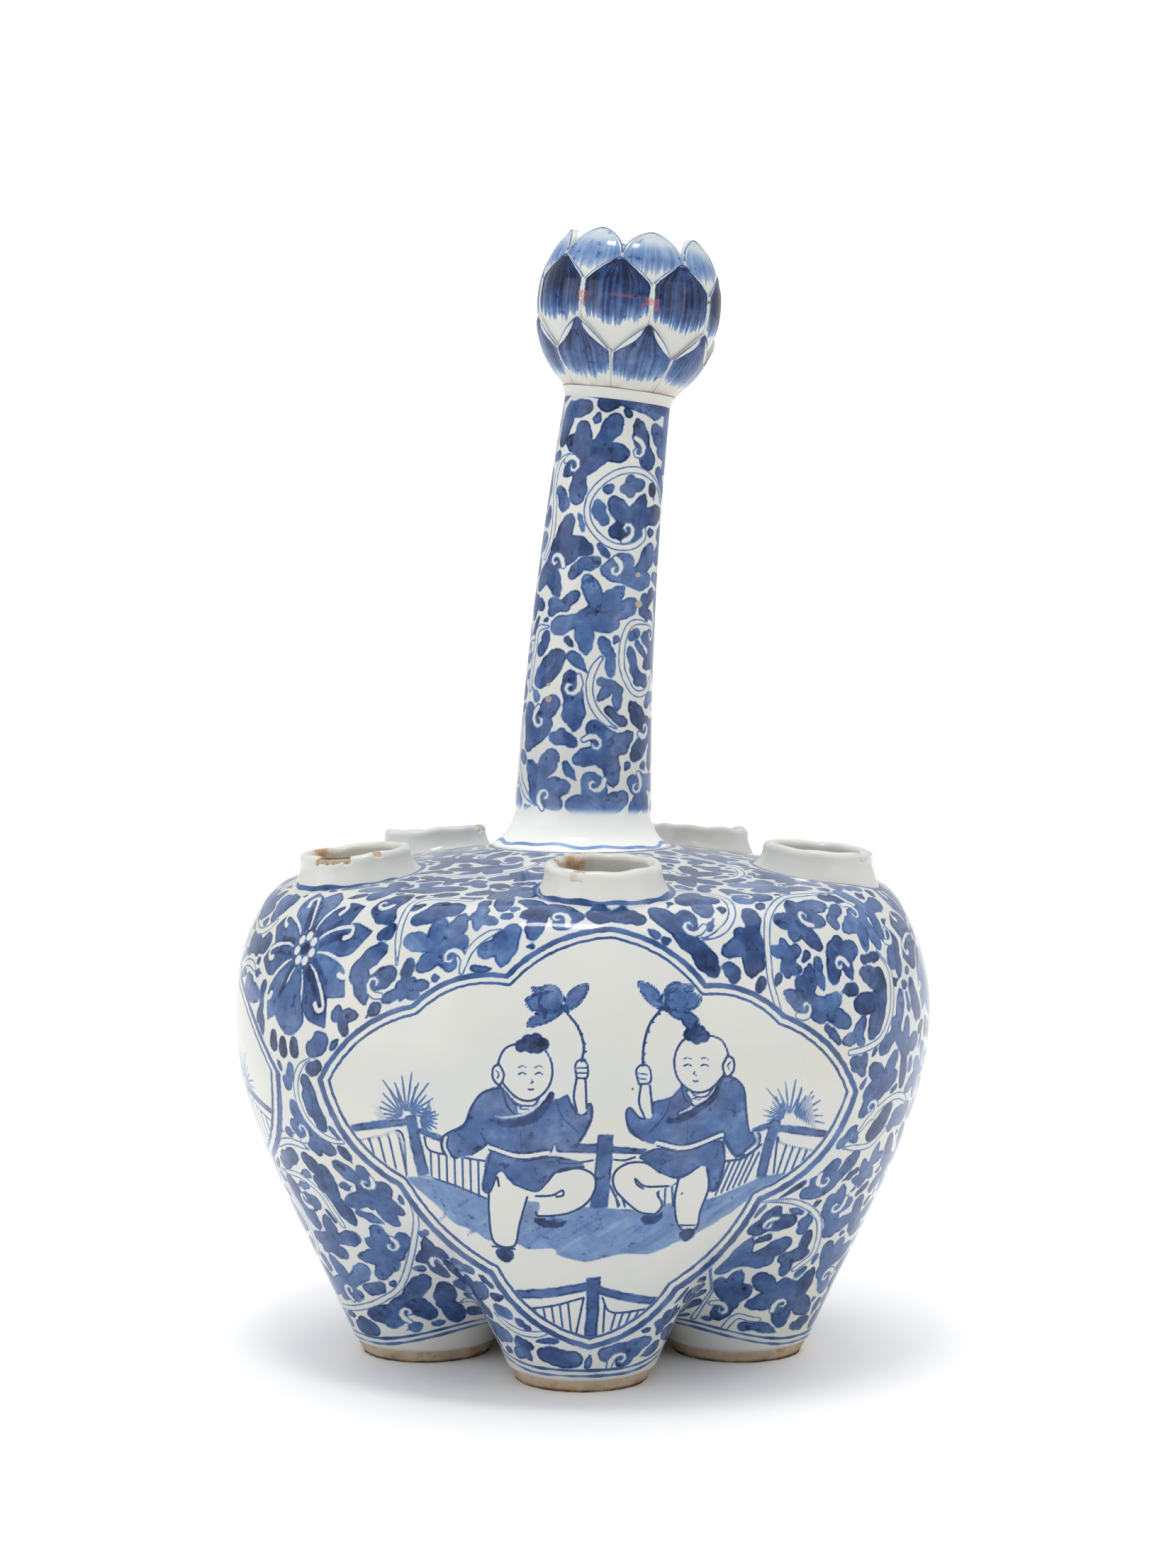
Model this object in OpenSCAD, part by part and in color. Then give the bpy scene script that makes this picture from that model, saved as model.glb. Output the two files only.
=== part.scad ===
// Five-lobed porcelain flower vase: five moulded lobes with legs and foot discs, a shoulder dome,
// five flower nozzles, a leaning neck, and a lotus-bud bulb with three tiers of petals.
// The pieces are luted, so they meet face to face. Origin: middle of the standing plane, +Z up.

/* [Body] */
// Outer radius of the body at its girth
girth_r = 75.6; // [72:0.2:80]
// Height of the girth seam, where the lobes carry the shoulder
seam_z = 72.5; // [66:0.5:80]
// Thickness of the body wall
body_wall = 4; // [3:0.25:5]
// Radius of the shoulder's curve just above the girth
girth_bend_r = 46; // [40:0.5:49]
// Angle that the girth curve turns before the tighter shoulder curve
girth_turn = 30; // [26:0.5:34]
// Radius of the tighter curve at the shoulder's edge
shoulder_bend_r = 13; // [10:0.5:16]
// Slope of the shoulder's top above level
shoulder_slope = 8.7; // [6:0.1:12]

/* [Lobes and feet] */
// Distance of each foot's middle from the vase's axis
foot_ring_r = 35.2; // [33:0.2:37.4]
// Outer radius of a leg where it stands on its foot disc
leg_r = 15.4; // [14.4:0.2:16.4]
// How fast the leg swells outwards at its foot, as a share of the mean slope
leg_swell = 1.15; // [0.9:0.05:1.3]
// Reach of the soft valley between two lobes
valley_blend = 9; // [5:0.5:11]
// Height of the unglazed edge of a foot disc
foot_h = 2.6; // [2:0.1:4]
// Radius of the foot's resting face
foot_rest_r = 13.6; // [11.5:0.1:14]
// Overhang of the glazed leg past the top of its foot disc
glaze_roll = 0.5; // [0.2:0.1:0.8]
// Height of the foot's plug inside the leg
foot_plug_h = 2; // [1:0.25:3]
// Gap between the foot's plug and the leg's wall
foot_plug_gap = 0.2; // [0.1:0.05:0.4]

/* [Nozzles] */
// Distance of each nozzle's middle from the vase's axis
nozzle_ring_r = 51.4; // [49:0.2:54]
// Turn of the ring of nozzles, relative to the feet
nozzle_twist = 5; // [0:0.5:8]
// Outward tilt of a nozzle
nozzle_tilt = 5.5; // [3:0.5:9]
// Height of a nozzle's rim above the shoulder
nozzle_h = 5.7; // [4.5:0.1:8]
// Radius of a nozzle's bore
nozzle_bore_r = 9.2; // [8:0.1:9.8]
// Thickness of a nozzle's rounded lip
nozzle_lip = 2.6; // [2:0.1:3]
// Outer radius of a nozzle where it sits on the shoulder
nozzle_base_r = 13.6; // [13:0.1:14.5]
// How much wider the shoulder's hole is than the bore above it, all round
hole_margin = 0.8; // [0.4:0.1:1.5]

/* [Neck] */
// Sideways lean of the neck and bulb
neck_lean = 4.8; // [0:0.2:6]
// Length of the neck from the shoulder to the bulb
neck_length = 97; // [80:0.5:110]
// Outer radius of the neck above its flared foot
neck_base_r = 14.8; // [13.5:0.1:16]
// Outer radius of the neck under the bulb
neck_top_r = 11.4; // [10.5:0.1:12]
// Outer radius of the flared foot on the shoulder
neck_flare_r = 19.5; // [18:0.1:22]
// Height of the flared foot
neck_flare_h = 9.5; // [7:0.5:12]
// Radius of the neck's bore
neck_bore_r = 7.6; // [6.5:0.1:8.5]

/* [Bulb] */
// Outer radius of the bulb over its petals
bulb_r = 19.7; // [18:0.1:22]
// Radius of the bulb where it sits on the neck
bulb_seat_r = 12; // [11.8:0.1:13]
// Height of the bulb's lower curve, from its widest ring to where it would close
bulb_lower_h = 24; // [22:0.5:26]
// Height of the bulb's upper curve, from its widest ring to where it would close
bulb_upper_h = 22; // [20:0.5:25]
// Thickness of the bulb's wall
bulb_wall = 3; // [2.5:0.1:3.5]
// Height of the bulb's rim above its widest ring
bulb_rim_h = 11.5; // [10:0.5:13]
// Thickness of the applied petals
petal_t = 1.4; // [1:0.1:2]
// Petals in each tier
petal_count = 8; // [6:1:10]
// Gap left between neighbouring petals
petal_gap = 0.4; // [0.2:0.1:0.8]
// Top of the lower petals, from the bulb's widest ring
lower_tip_h = -3; // [-4:0.5:0]
// Top of the middle petals, from the bulb's widest ring
middle_tip_h = 10; // [8:0.5:11.5]
// Top of the upper petals, from the bulb's widest ring
upper_tip_h = 15.3; // [14:0.1:17]

/* [Hidden] */

$fn = 96;
porcelain = [0.91, 0.93, 0.93];
painted = [0.55, 0.64, 0.83];
cobalt = [0.24, 0.34, 0.62];
biscuit = [0.72, 0.61, 0.50];

lobe_count = 5;
lobe_step = 360 / lobe_count;
half_step = lobe_step / 2;
front = -90;

// Columns of a lobe's skin: across the girth, down the valley, and under the body
front_columns = 8;
valley_columns = 10;
under_columns = 6;
// Crowds the valley's columns towards the top of the valley, where they fan out
valley_crowding = 1.7;
skin_rows = 10;
halvings = 24;
arc_steps = 8;
bulb_steps = 10;
flare_steps = 6;
outline_steps = 10;

// The shoulder's outline: girth arc, shoulder arc, then a straight slope to the axis
function girth_end(inset) = [
  girth_r - inset - (girth_bend_r - inset) * (1 - cos(girth_turn)),
  seam_z + (girth_bend_r - inset) * sin(girth_turn)
];
function shoulder_point(turn, inset) = girth_end(inset) + (shoulder_bend_r - inset)
  * [cos(turn) - cos(girth_turn), sin(turn) - sin(girth_turn)];
top_turn = 90 - shoulder_slope;
slope_start = shoulder_point(top_turn, 0);
function slope_z(r) = slope_start[1] + (slope_start[0] - r) * tan(shoulder_slope);

function dome_outline(inset) = let (
  top = shoulder_point(top_turn, inset)
) concat(
  [[0, seam_z]],
  [for (i = [0:arc_steps]) let (a = girth_turn * i / arc_steps)
    [girth_r - inset - (girth_bend_r - inset) * (1 - cos(a)), seam_z + (girth_bend_r - inset) * sin(a)]],
  [for (i = [1:arc_steps]) shoulder_point(girth_turn + (top_turn - girth_turn) * i / arc_steps, inset)],
  [[0, top[1] + top[0] * tan(shoulder_slope)]]
);

// A lobe is a stack of circles. Each circle's middle moves in to the vase's axis as it rises.
crown_foot_r = foot_ring_r + leg_r;
function rise(z) = (z - foot_h) / (seam_z - foot_h);
function swell(u) = leg_swell * u + (3 - 2 * leg_swell) * u * u + (leg_swell - 2) * u * u * u;
function crown_r(z) = crown_foot_r + (girth_r - crown_foot_r) * swell(rise(z));
function lobe_axis(z) = foot_ring_r * pow(1 - pow(rise(z), 3), 2);
function lobe_r(z) = crown_r(z) - lobe_axis(z);
function blend(z) = valley_blend * lobe_axis(z) / foot_ring_r;

// Height at which the column at angle a around the lobe meets the valley plane
function valley_gap(a, z, inset) =
  lobe_axis(z) * sin(half_step) / sin(a - half_step) - (lobe_r(z) - inset + blend(z) / 4);
function valley_height(a, inset, low, high, n) = let (mid = (low + high) / 2)
  n == 0 ? mid
  : valley_gap(a, mid, inset) > 0 ? valley_height(a, inset, mid, high, n - 1)
  : valley_height(a, inset, low, mid, n - 1);
function column_top(a, inset) = abs(a) <= half_step ? seam_z
  : valley_height(abs(a), inset, foot_h, seam_z, halvings);

// Distance from a lobe's axis to its skin, with the valley to its neighbour filled softly
function neighbour_gap(a, z, r, s) = let (d = lobe_axis(z))
  norm([d + s * cos(a) - d * cos(lobe_step), s * sin(a) - d * sin(lobe_step)]) - r;
function skin_error(a, z, r, s) = let (
  k = blend(z),
  h = k > 0 ? max(0, 1 - (neighbour_gap(a, z, r, s) - (s - r)) / k) : 0
) s - r - k / 4 * h * h;
function skin_reach(a, z, r, low, high, n) = let (mid = (low + high) / 2)
  n == 0 ? mid
  : skin_error(a, z, r, mid) < 0 ? skin_reach(a, z, r, mid, high, n - 1)
  : skin_reach(a, z, r, low, mid, n - 1);
function skin_point(a, z, inset) = let (
  r = lobe_r(z) - inset,
  s = skin_reach(abs(a), z, r, r, r + blend(z) / 4, halvings)
) [lobe_axis(z) + s * cos(a), s * sin(a), z];

under_turn = 90 + half_step;
half_columns = concat(
  [for (i = [0:front_columns - 1]) half_step * i / front_columns],
  [for (i = [0:valley_columns - 1]) half_step + 90 * pow(i / valley_columns, valley_crowding)],
  [for (i = [0:under_columns]) under_turn + (180 - under_turn) * i / under_columns]
);
last_half = len(half_columns) - 1;
columns = concat(half_columns, [for (i = [last_half - 1:-1:1]) -half_columns[i]]);

function skin_points(inset) = [
  for (a = columns) let (top = column_top(a, inset))
    for (j = [0:skin_rows]) skin_point(a, foot_h + (top - foot_h) * j / skin_rows, inset)
];

// Both skins of the lobe, closed along the foot, the two valley planes and the girth seam
module lobe() {
  n = len(columns);
  row = skin_rows + 1;
  inner = n * row;
  function at(i, j) = (i % n) * row + j;
  faces = [
    for (i = [0:n - 1]) each concat(
      [for (j = [0:skin_rows - 1]) each [
        [at(i, j), at(i + 1, j + 1), at(i + 1, j)],
        [at(i, j), at(i, j + 1), at(i + 1, j + 1)],
        [inner + at(i, j), inner + at(i + 1, j), inner + at(i + 1, j + 1)],
        [inner + at(i, j), inner + at(i + 1, j + 1), inner + at(i, j + 1)]
      ]],
      [
        [at(i, 0), at(i + 1, 0), inner + at(i + 1, 0)],
        [at(i, 0), inner + at(i + 1, 0), inner + at(i, 0)],
        [at(i, skin_rows), inner + at(i + 1, skin_rows), at(i + 1, skin_rows)],
        [at(i, skin_rows), inner + at(i, skin_rows), inner + at(i + 1, skin_rows)]
      ]
    )
  ];
  color(painted)
    polyhedron(concat(skin_points(0), skin_points(body_wall)), faces, convexity = 6);
}

// Unglazed disc that closes a leg, with a plug that locates it
module foot() {
  plug_r = leg_r - body_wall - foot_plug_gap;
  color(biscuit)
    rotate_extrude()
      polygon([
        [0, 0], [foot_rest_r, 0], [leg_r - glaze_roll, foot_h], [plug_r, foot_h],
        [plug_r, foot_h + foot_plug_h], [0, foot_h + foot_plug_h]
      ]);
}

module dome(inset) {
  rotate_extrude() polygon(dome_outline(inset));
}

module at_nozzle(i) {
  rotate([0, 0, front + nozzle_twist + i * lobe_step])
    translate([nozzle_ring_r, 0, slope_z(nozzle_ring_r)])
      rotate([0, nozzle_tilt, 0])
        children();
}

module on_neck() {
  translate([0, 0, slope_z(neck_flare_r)])
    rotate([0, neck_lean, 0])
      children();
}

root_depth = 6;
module shoulder() {
  color(painted)
    difference() {
      dome(0);
      translate([0, 0, -body_wall / 100]) dome(body_wall);
      on_neck() cylinder(r = neck_bore_r + hole_margin, h = 6 * root_depth, center = true);
      for (i = [0:lobe_count - 1])
        at_nozzle(i) cylinder(r = nozzle_bore_r + hole_margin, h = 6 * root_depth, center = true);
    }
}

// Flower nozzle: a flared ring with a rounded lip, trimmed to the shoulder it sits on
module nozzle(i) {
  lip_r = nozzle_lip / 2;
  color(porcelain)
    difference() {
      at_nozzle(i)
        rotate_extrude()
          union() {
            polygon([
              [nozzle_bore_r, -root_depth], [nozzle_base_r, -root_depth], [nozzle_base_r, 0],
              [nozzle_bore_r + nozzle_lip, nozzle_h - lip_r], [nozzle_bore_r, nozzle_h - lip_r]
            ]);
            translate([nozzle_bore_r + lip_r, nozzle_h - lip_r]) circle(r = lip_r);
          }
      dome(0);
    }
}

// Neck: a flared foot trimmed to the shoulder, then a straight taper
function flare_r(t) = neck_base_r + (neck_flare_r - neck_base_r) * pow(1 - t, 3);
module neck() {
  color(painted)
    difference() {
      on_neck()
        rotate_extrude()
          polygon(concat(
            [[neck_bore_r, -root_depth], [neck_flare_r, -root_depth]],
            [for (i = [0:flare_steps]) [flare_r(i / flare_steps), neck_flare_h * i / flare_steps]],
            [[neck_top_r, neck_length], [neck_bore_r, neck_length]]
          ));
      dome(0);
    }
}

// The bulb's outlines are ellipses about its widest ring
bulb_seat_turn = acos(bulb_seat_r / bulb_r);
bulb_mid = neck_length + bulb_lower_h * sin(bulb_seat_turn);
function bulb_height(h) = h < 0 ? bulb_lower_h : bulb_upper_h;
function bulb_point(turn, inset) = [
  (bulb_r - inset) * cos(turn), bulb_mid + (bulb_height(turn) - inset) * sin(turn)
];
function bulb_turn(h, inset) = asin(h / (bulb_height(h) - inset));
function bulb_arc(from, to, inset) = [
  for (i = [0:bulb_steps]) bulb_point(from + (to - from) * i / bulb_steps, inset)
];

function cup_foot_turn(inset) = bulb_turn(neck_length - bulb_mid, inset);
cup_inset = petal_t + bulb_wall;
module bulb_cup() {
  floor_turn = -acos(neck_bore_r / (bulb_r - cup_inset));
  color(porcelain)
    on_neck()
      rotate_extrude()
        polygon(concat(
          [[neck_bore_r, neck_length], [bulb_point(cup_foot_turn(petal_t), petal_t)[0], neck_length]],
          [for (p = bulb_arc(cup_foot_turn(petal_t), 0, petal_t)) if (p[1] > neck_length + petal_gap / 10) p],
          [for (i = [1:bulb_steps]) bulb_point(bulb_turn(bulb_rim_h, petal_t) * i / bulb_steps, petal_t)],
          [for (i = [bulb_steps:-1:1]) bulb_point(bulb_turn(bulb_rim_h, cup_inset) * i / bulb_steps, cup_inset)],
          [for (i = [0:bulb_steps]) bulb_point(floor_turn * i / bulb_steps, cup_inset)]
        ));
}

// Thin shell around the bulb, from which the petals of every tier are cut
module petal_shell() {
  low = neck_length - bulb_mid;
  high = upper_tip_h;
  rotate_extrude()
    polygon(concat(
      bulb_arc(bulb_turn(low, 0), 0, 0),
      [for (i = [1:bulb_steps]) bulb_point(bulb_turn(high, 0) * i / bulb_steps, 0)],
      [for (i = [bulb_steps:-1:1]) bulb_point(bulb_turn(high, petal_t) * i / bulb_steps, petal_t)],
      bulb_arc(0, bulb_turn(low, petal_t), petal_t)
    ));
}

// Outline of a petal, seen from outside: straight sides, then an ogee to its point
petal_half = bulb_r * sin(180 / petal_count);
function ogee(t) = pow(max(0, cos(90 * t)), 0.7);
module petal_face(low, ogee_low, tip) {
  side = [for (i = [0:outline_steps]) let (t = i / outline_steps)
    [petal_half * ogee(t), ogee_low + (tip - ogee_low) * t]];
  polygon(concat(
    [[petal_half, low]], side,
    [for (i = [outline_steps - 1:-1:0]) [-side[i][0], side[i][1]]],
    [[-petal_half, low]]
  ));
}

module petal_cutter(low, ogee_low, tip) {
  rotate([90, 0, 90])
    linear_extrude(height = 2 * bulb_r)
      translate([0, bulb_mid]) petal_face(low, ogee_low, tip);
}

// One petal's share of the bulb, less the gap to its neighbours
module petal_wedge() {
  far = 2 * bulb_r;
  side = petal_gap / 2;
  translate([side / sin(180 / petal_count), 0, 0])
    linear_extrude(height = 2 * bulb_mid)
      polygon([[0, 0], [far, -far * tan(180 / petal_count)], [far, far * tan(180 / petal_count)]]);
}

module petal(low, ogee_low, tip) {
  intersection() {
    petal_shell();
    petal_cutter(low, ogee_low, tip);
    petal_wedge();
  }
}

petal_step = 360 / petal_count;
petal_turn = front + 14;
bulb_foot = neck_length - bulb_mid;
ogee_share = 0.55;
function ogee_start(tip, low) = tip - ogee_share * (tip - low);
lower_ogee = ogee_start(lower_tip_h, bulb_foot);
middle_low = lower_tip_h - 0.6 * (lower_tip_h - lower_ogee);
middle_ogee = ogee_start(middle_tip_h, middle_low);
upper_low = middle_tip_h - 0.6 * (middle_tip_h - middle_ogee);
upper_ogee = ogee_start(upper_tip_h, upper_low);

module tier(turn) {
  on_neck()
    for (i = [0:petal_count - 1])
      rotate([0, 0, turn + i * petal_step]) children();
}

module petals_lower() {
  color(cobalt)
    tier(petal_turn) petal(bulb_foot, lower_ogee, lower_tip_h);
}

// A petal of the next tier, cut away where the two petals below overlap it
module petal_behind(low, ogee_low, tip, under_low, under_ogee, under_tip) {
  difference() {
    petal(low, ogee_low, tip);
    for (side = [-1, 1])
      rotate([0, 0, side * petal_step / 2])
        petal_cutter(under_low - petal_gap, under_ogee + petal_gap, under_tip + petal_gap);
  }
}

module petals_middle() {
  color(cobalt)
    tier(petal_turn + petal_step / 2)
      petal_behind(middle_low, middle_ogee, middle_tip_h, bulb_foot, lower_ogee, lower_tip_h);
}

module petals_upper() {
  color(cobalt)
    tier(petal_turn)
      petal_behind(upper_low, upper_ogee, upper_tip_h, middle_low, middle_ogee, middle_tip_h);
}

module at_lobe(i) {
  rotate([0, 0, front + i * lobe_step]) children();
}

module at_foot(i) {
  at_lobe(i) translate([foot_ring_r, 0, 0]) children();
}

at_lobe(0) lobe();  // lobe_front
at_lobe(1) lobe();  // lobe_front_right
at_lobe(2) lobe();  // lobe_rear_right
at_lobe(3) lobe();  // lobe_rear_left
at_lobe(4) lobe();  // lobe_front_left
at_foot(0) foot();  // foot_front
at_foot(1) foot();  // foot_front_right
at_foot(2) foot();  // foot_rear_right
at_foot(3) foot();  // foot_rear_left
at_foot(4) foot();  // foot_front_left
shoulder();
nozzle(0);  // nozzle_front
nozzle(1);  // nozzle_front_right
nozzle(2);  // nozzle_rear_right
nozzle(3);  // nozzle_rear_left
nozzle(4);  // nozzle_front_left
neck();
bulb_cup();
petals_lower();
petals_middle();
petals_upper();
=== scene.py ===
"""Looks of the five-lobed porcelain flower vase: skins, cobalt painting and a studio, in the CAD frame."""
import math
from types import SimpleNamespace

import bpy
import numpy as np
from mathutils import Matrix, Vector, kdtree


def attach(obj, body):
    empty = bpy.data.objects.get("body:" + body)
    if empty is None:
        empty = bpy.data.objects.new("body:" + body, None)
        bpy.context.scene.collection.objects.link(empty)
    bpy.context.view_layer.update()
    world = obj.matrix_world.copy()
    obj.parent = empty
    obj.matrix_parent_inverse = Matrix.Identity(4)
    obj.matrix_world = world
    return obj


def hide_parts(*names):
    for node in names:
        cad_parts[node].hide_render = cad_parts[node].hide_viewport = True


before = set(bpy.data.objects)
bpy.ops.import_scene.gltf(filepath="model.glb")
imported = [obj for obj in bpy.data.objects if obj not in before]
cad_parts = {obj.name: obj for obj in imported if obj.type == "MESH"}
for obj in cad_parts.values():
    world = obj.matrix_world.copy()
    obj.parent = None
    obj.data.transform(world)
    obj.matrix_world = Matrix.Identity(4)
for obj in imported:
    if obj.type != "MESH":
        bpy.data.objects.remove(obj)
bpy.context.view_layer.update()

# Sizes in millimetres, as in the solids
MM = 0.001
GIRTH_R = 75.6
SEAM_Z = 72.5
WALL = 4.0
GIRTH_BEND = 46.0
GIRTH_TURN = math.radians(30)
SHOULDER_BEND = 13.0
SLOPE = math.radians(8.7)
FOOT_RING = 35.2
LEG_R = 15.4
LEG_SWELL = 1.15
VALLEY_BLEND = 9.0
FOOT_H = 2.6
FOOT_REST_R = 13.6
GLAZE_ROLL = 0.5
NOZZLE_RING = 51.4
NOZZLE_TWIST = math.radians(5)
NOZZLE_TILT = math.radians(5.5)
NOZZLE_H = 5.7
NOZZLE_BORE = 9.2
NOZZLE_LIP = 2.6
NOZZLE_BASE = 13.6
NECK_LENGTH = 97.0
NECK_BASE = 14.8
NECK_TOP = 11.4
NECK_FLARE = 19.5
NECK_FLARE_H = 9.5
NECK_BORE = 7.6
BULB_R = 19.7
BULB_SEAT = 12.0
BULB_LOWER = 24.0
BULB_UPPER = 22.0
BULB_RIM = 11.5
BULB_WALL = 3.0
PETAL_T = 1.4
PETALS = 8

LOBES = ["front", "front_right", "rear_right", "rear_left", "front_left"]
STEP = math.radians(72)
HALF = STEP / 2
FRONT = math.radians(-90)

# The neck bends to the viewer's right as it rises: sideways reach per millimetre, and per square millimetre
NECK_LEAN = 0.0235
NECK_BEND = 0.00059

# The photograph's camera: distance, height, side shift, pitch and focal length in pixels of its frame
PHOTO_W = 1659
PHOTO_H = 2212
CAM_DISTANCE = 669.0
CAM_HEIGHT = 162.5
CAM_SHIFT = 1.3
CAM_PITCH = math.radians(3.52)
CAM_FOCAL = 4349.0

SEED = 11


# Small helpers
def smooth(x, low, high):
    """Rises softly from 0 to 1 between two values."""
    t = np.clip((x - low) / (high - low), 0, 1)
    return t * t * (3 - 2 * t)


def circle(n):
    """Angles of a closed ring of columns."""
    return np.linspace(-math.pi, math.pi, n, endpoint=False)


def radius_of(points):
    return np.hypot(points[..., 0], points[..., 1])


def unit(v):
    return v / np.linalg.norm(v)


def turned(points, angle):
    """Points turned about the vase's axis."""
    c, s = math.cos(angle), math.sin(angle)
    x, y, z = points[..., 0], points[..., 1], points[..., 2]
    return np.stack([c * x - s * y, s * x + c * y, z], -1)


def wave(angle, turns, phases):
    """A soft, closed wobble around a ring, about -1 to 1."""
    return sum(np.sin(n * angle + p) for n, p in zip(turns, phases)) / len(turns)


def photo_px(points):
    """Where points in millimetres land in the photograph's frame."""
    x = points[..., 0] - CAM_SHIFT
    y = points[..., 1] + CAM_DISTANCE
    z = points[..., 2] - CAM_HEIGHT
    depth = y * math.cos(CAM_PITCH) - z * math.sin(CAM_PITCH)
    up = y * math.sin(CAM_PITCH) + z * math.cos(CAM_PITCH)
    px = PHOTO_W / 2 + CAM_FOCAL * x / depth
    py = PHOTO_H / 2 - CAM_FOCAL * up / depth
    return np.stack([px, py], -1)


# The lobes: stacked circles whose middles move in to the axis, with soft valleys between neighbours
def crown_r(z):
    u = (z - FOOT_H) / (SEAM_Z - FOOT_H)
    swell = LEG_SWELL * u + (3 - 2 * LEG_SWELL) * u**2 + (LEG_SWELL - 2) * u**3
    foot = FOOT_RING + LEG_R
    return foot + (GIRTH_R - foot) * swell


def lobe_axis(z):
    u = np.clip((z - FOOT_H) / (SEAM_Z - FOOT_H), 0, 1)
    return FOOT_RING * (1 - u**3)**2


def bisect(error, low, high, steps=30):
    """Where a rising error crosses zero, for whole arrays at once."""
    for _ in range(steps):
        mid = (low + high) / 2
        below = error(mid) < 0
        low = np.where(below, mid, low)
        high = np.where(below, high, mid)
    return (low + high) / 2


def skin_reach(angle, z, inset):
    """Distance from a lobe's axis to its skin, towards an angle around that axis."""
    d = lobe_axis(z)
    r = crown_r(z) - d - inset
    k = np.maximum(VALLEY_BLEND * d / FOOT_RING, 1e-6)
    a = np.abs(angle)

    def error(s):
        x = d + s * np.cos(a) - d * math.cos(STEP)
        y = s * np.sin(a) - d * math.sin(STEP)
        h = np.maximum(0, 1 - (np.hypot(x, y) - s) / k)
        return s - r - k / 4 * h * h

    return bisect(error, r, r + k / 4)


def column_top(angle, inset):
    """Height at which a column of the lobe's skin meets the valley plane or the girth seam."""
    a = np.maximum(np.abs(angle), HALF + 1e-6)

    def error(z):
        d = lobe_axis(z)
        reach = crown_r(z) - d - inset + VALLEY_BLEND * d / FOOT_RING / 4
        return reach - d * math.sin(HALF) / np.sin(a - HALF)

    top = bisect(error, np.full_like(a, FOOT_H), np.full_like(a, SEAM_Z))
    return np.where(np.abs(angle) <= HALF + 1e-9, SEAM_Z, top)


def lobe_columns(front, valley, under):
    """Angles around a lobe: across the girth, down each valley, and under the body."""
    crowd = (np.arange(valley) / valley)**1.5
    half = np.concatenate([
        np.linspace(0, HALF, front, endpoint=False),
        HALF + math.pi / 2 * crowd,
        np.linspace(math.pi / 2 + HALF, math.pi, under),
    ])
    return np.concatenate([-half[:0:-1], half])


def lobe_skin(angles, rows, inset):
    top = column_top(angles, inset)
    t = np.linspace(0, 1, rows)
    z = FOOT_H + (top[:, None] - FOOT_H) * t
    a = np.broadcast_to(angles[:, None], z.shape)
    s = skin_reach(a, z, inset)
    if inset == 0:
        s = s - GLAZE_ROLL * (1 - smooth(z, FOOT_H, FOOT_H + 0.7))
    return np.stack([lobe_axis(z) + s * np.cos(a), s * np.sin(a), z], -1)


# The shoulder: a girth arc, a tighter shoulder arc, and a straight slope up to the neck
SLOPE_TURN = math.pi / 2 - SLOPE


def dome_corners(inset):
    """Radius and height where the arcs meet, and where the slope starts."""
    a, top = GIRTH_TURN, SLOPE_TURN
    bend, edge = GIRTH_BEND - inset, SHOULDER_BEND - inset
    x1 = GIRTH_R - inset - bend * (1 - math.cos(a))
    z1 = SEAM_Z + bend * math.sin(a)
    return x1, z1, x1 + edge * (math.cos(top) - math.cos(a)), z1 + edge * (math.sin(top) - math.sin(a))


def dome_profile(rows, inset, inner_r):
    """Radius, height and length along the shoulder's skin, from the girth to the neck."""
    a, top = GIRTH_TURN, SLOPE_TURN
    bend, edge = GIRTH_BEND - inset, SHOULDER_BEND - inset
    x1, z1, x2, z2 = dome_corners(inset)
    lengths = [bend * a, edge * (top - a), (x2 - inner_r) / math.cos(SLOPE)]
    s = np.linspace(0, sum(lengths), rows)
    t0 = s / bend
    t1 = a + (s - lengths[0]) / edge
    t2 = s - lengths[0] - lengths[1]
    on_girth = s < lengths[0]
    on_edge = s < lengths[0] + lengths[1]
    r = np.where(on_girth, GIRTH_R - inset - bend * (1 - np.cos(t0)),
                 np.where(on_edge, x1 + edge * (np.cos(t1) - math.cos(a)), x2 - t2 * math.cos(SLOPE)))
    z = np.where(on_girth, SEAM_Z + bend * np.sin(t0),
                 np.where(on_edge, z1 + edge * (np.sin(t1) - math.sin(a)), z2 + t2 * math.sin(SLOPE)))
    return r, z, s


def dome_z(r):
    """Height of the shoulder's sloping top at a radius."""
    _, _, x2, z2 = dome_corners(0)
    return z2 + (x2 - r) * math.tan(SLOPE)


def revolve(angles, r, z):
    """A grid of points turned about +Z, by column and row."""
    return np.stack([np.outer(np.cos(angles), r), np.outer(np.sin(angles), r),
                     np.outer(np.ones_like(angles), z)], -1)


def nozzle_frame(i):
    """Middle of a nozzle on the shoulder, and its axes: outward, along the ring, and up."""
    a = FRONT + NOZZLE_TWIST + i * STEP
    out = np.array([math.cos(a), math.sin(a), 0])
    up = math.sin(NOZZLE_TILT) * out + math.cos(NOZZLE_TILT) * np.array([0, 0, 1])
    along = np.array([-math.sin(a), math.cos(a), 0])
    middle = NOZZLE_RING * out + np.array([0, 0, dome_z(NOZZLE_RING)])
    return middle, np.cross(along, up), along, up


def on_frame(points, origin, ex, ey, ez):
    return origin + points[..., :1] * ex + points[..., 1:2] * ey + points[..., 2:] * ez


NECK_FOOT = dome_z(NECK_FLARE)


def neck_axis(s):
    """The neck's middle line at a height above the shoulder."""
    x = NECK_LEAN * s + NECK_BEND * s * s
    return np.stack([x, np.zeros_like(s), NECK_FOOT + s], -1)


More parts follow.
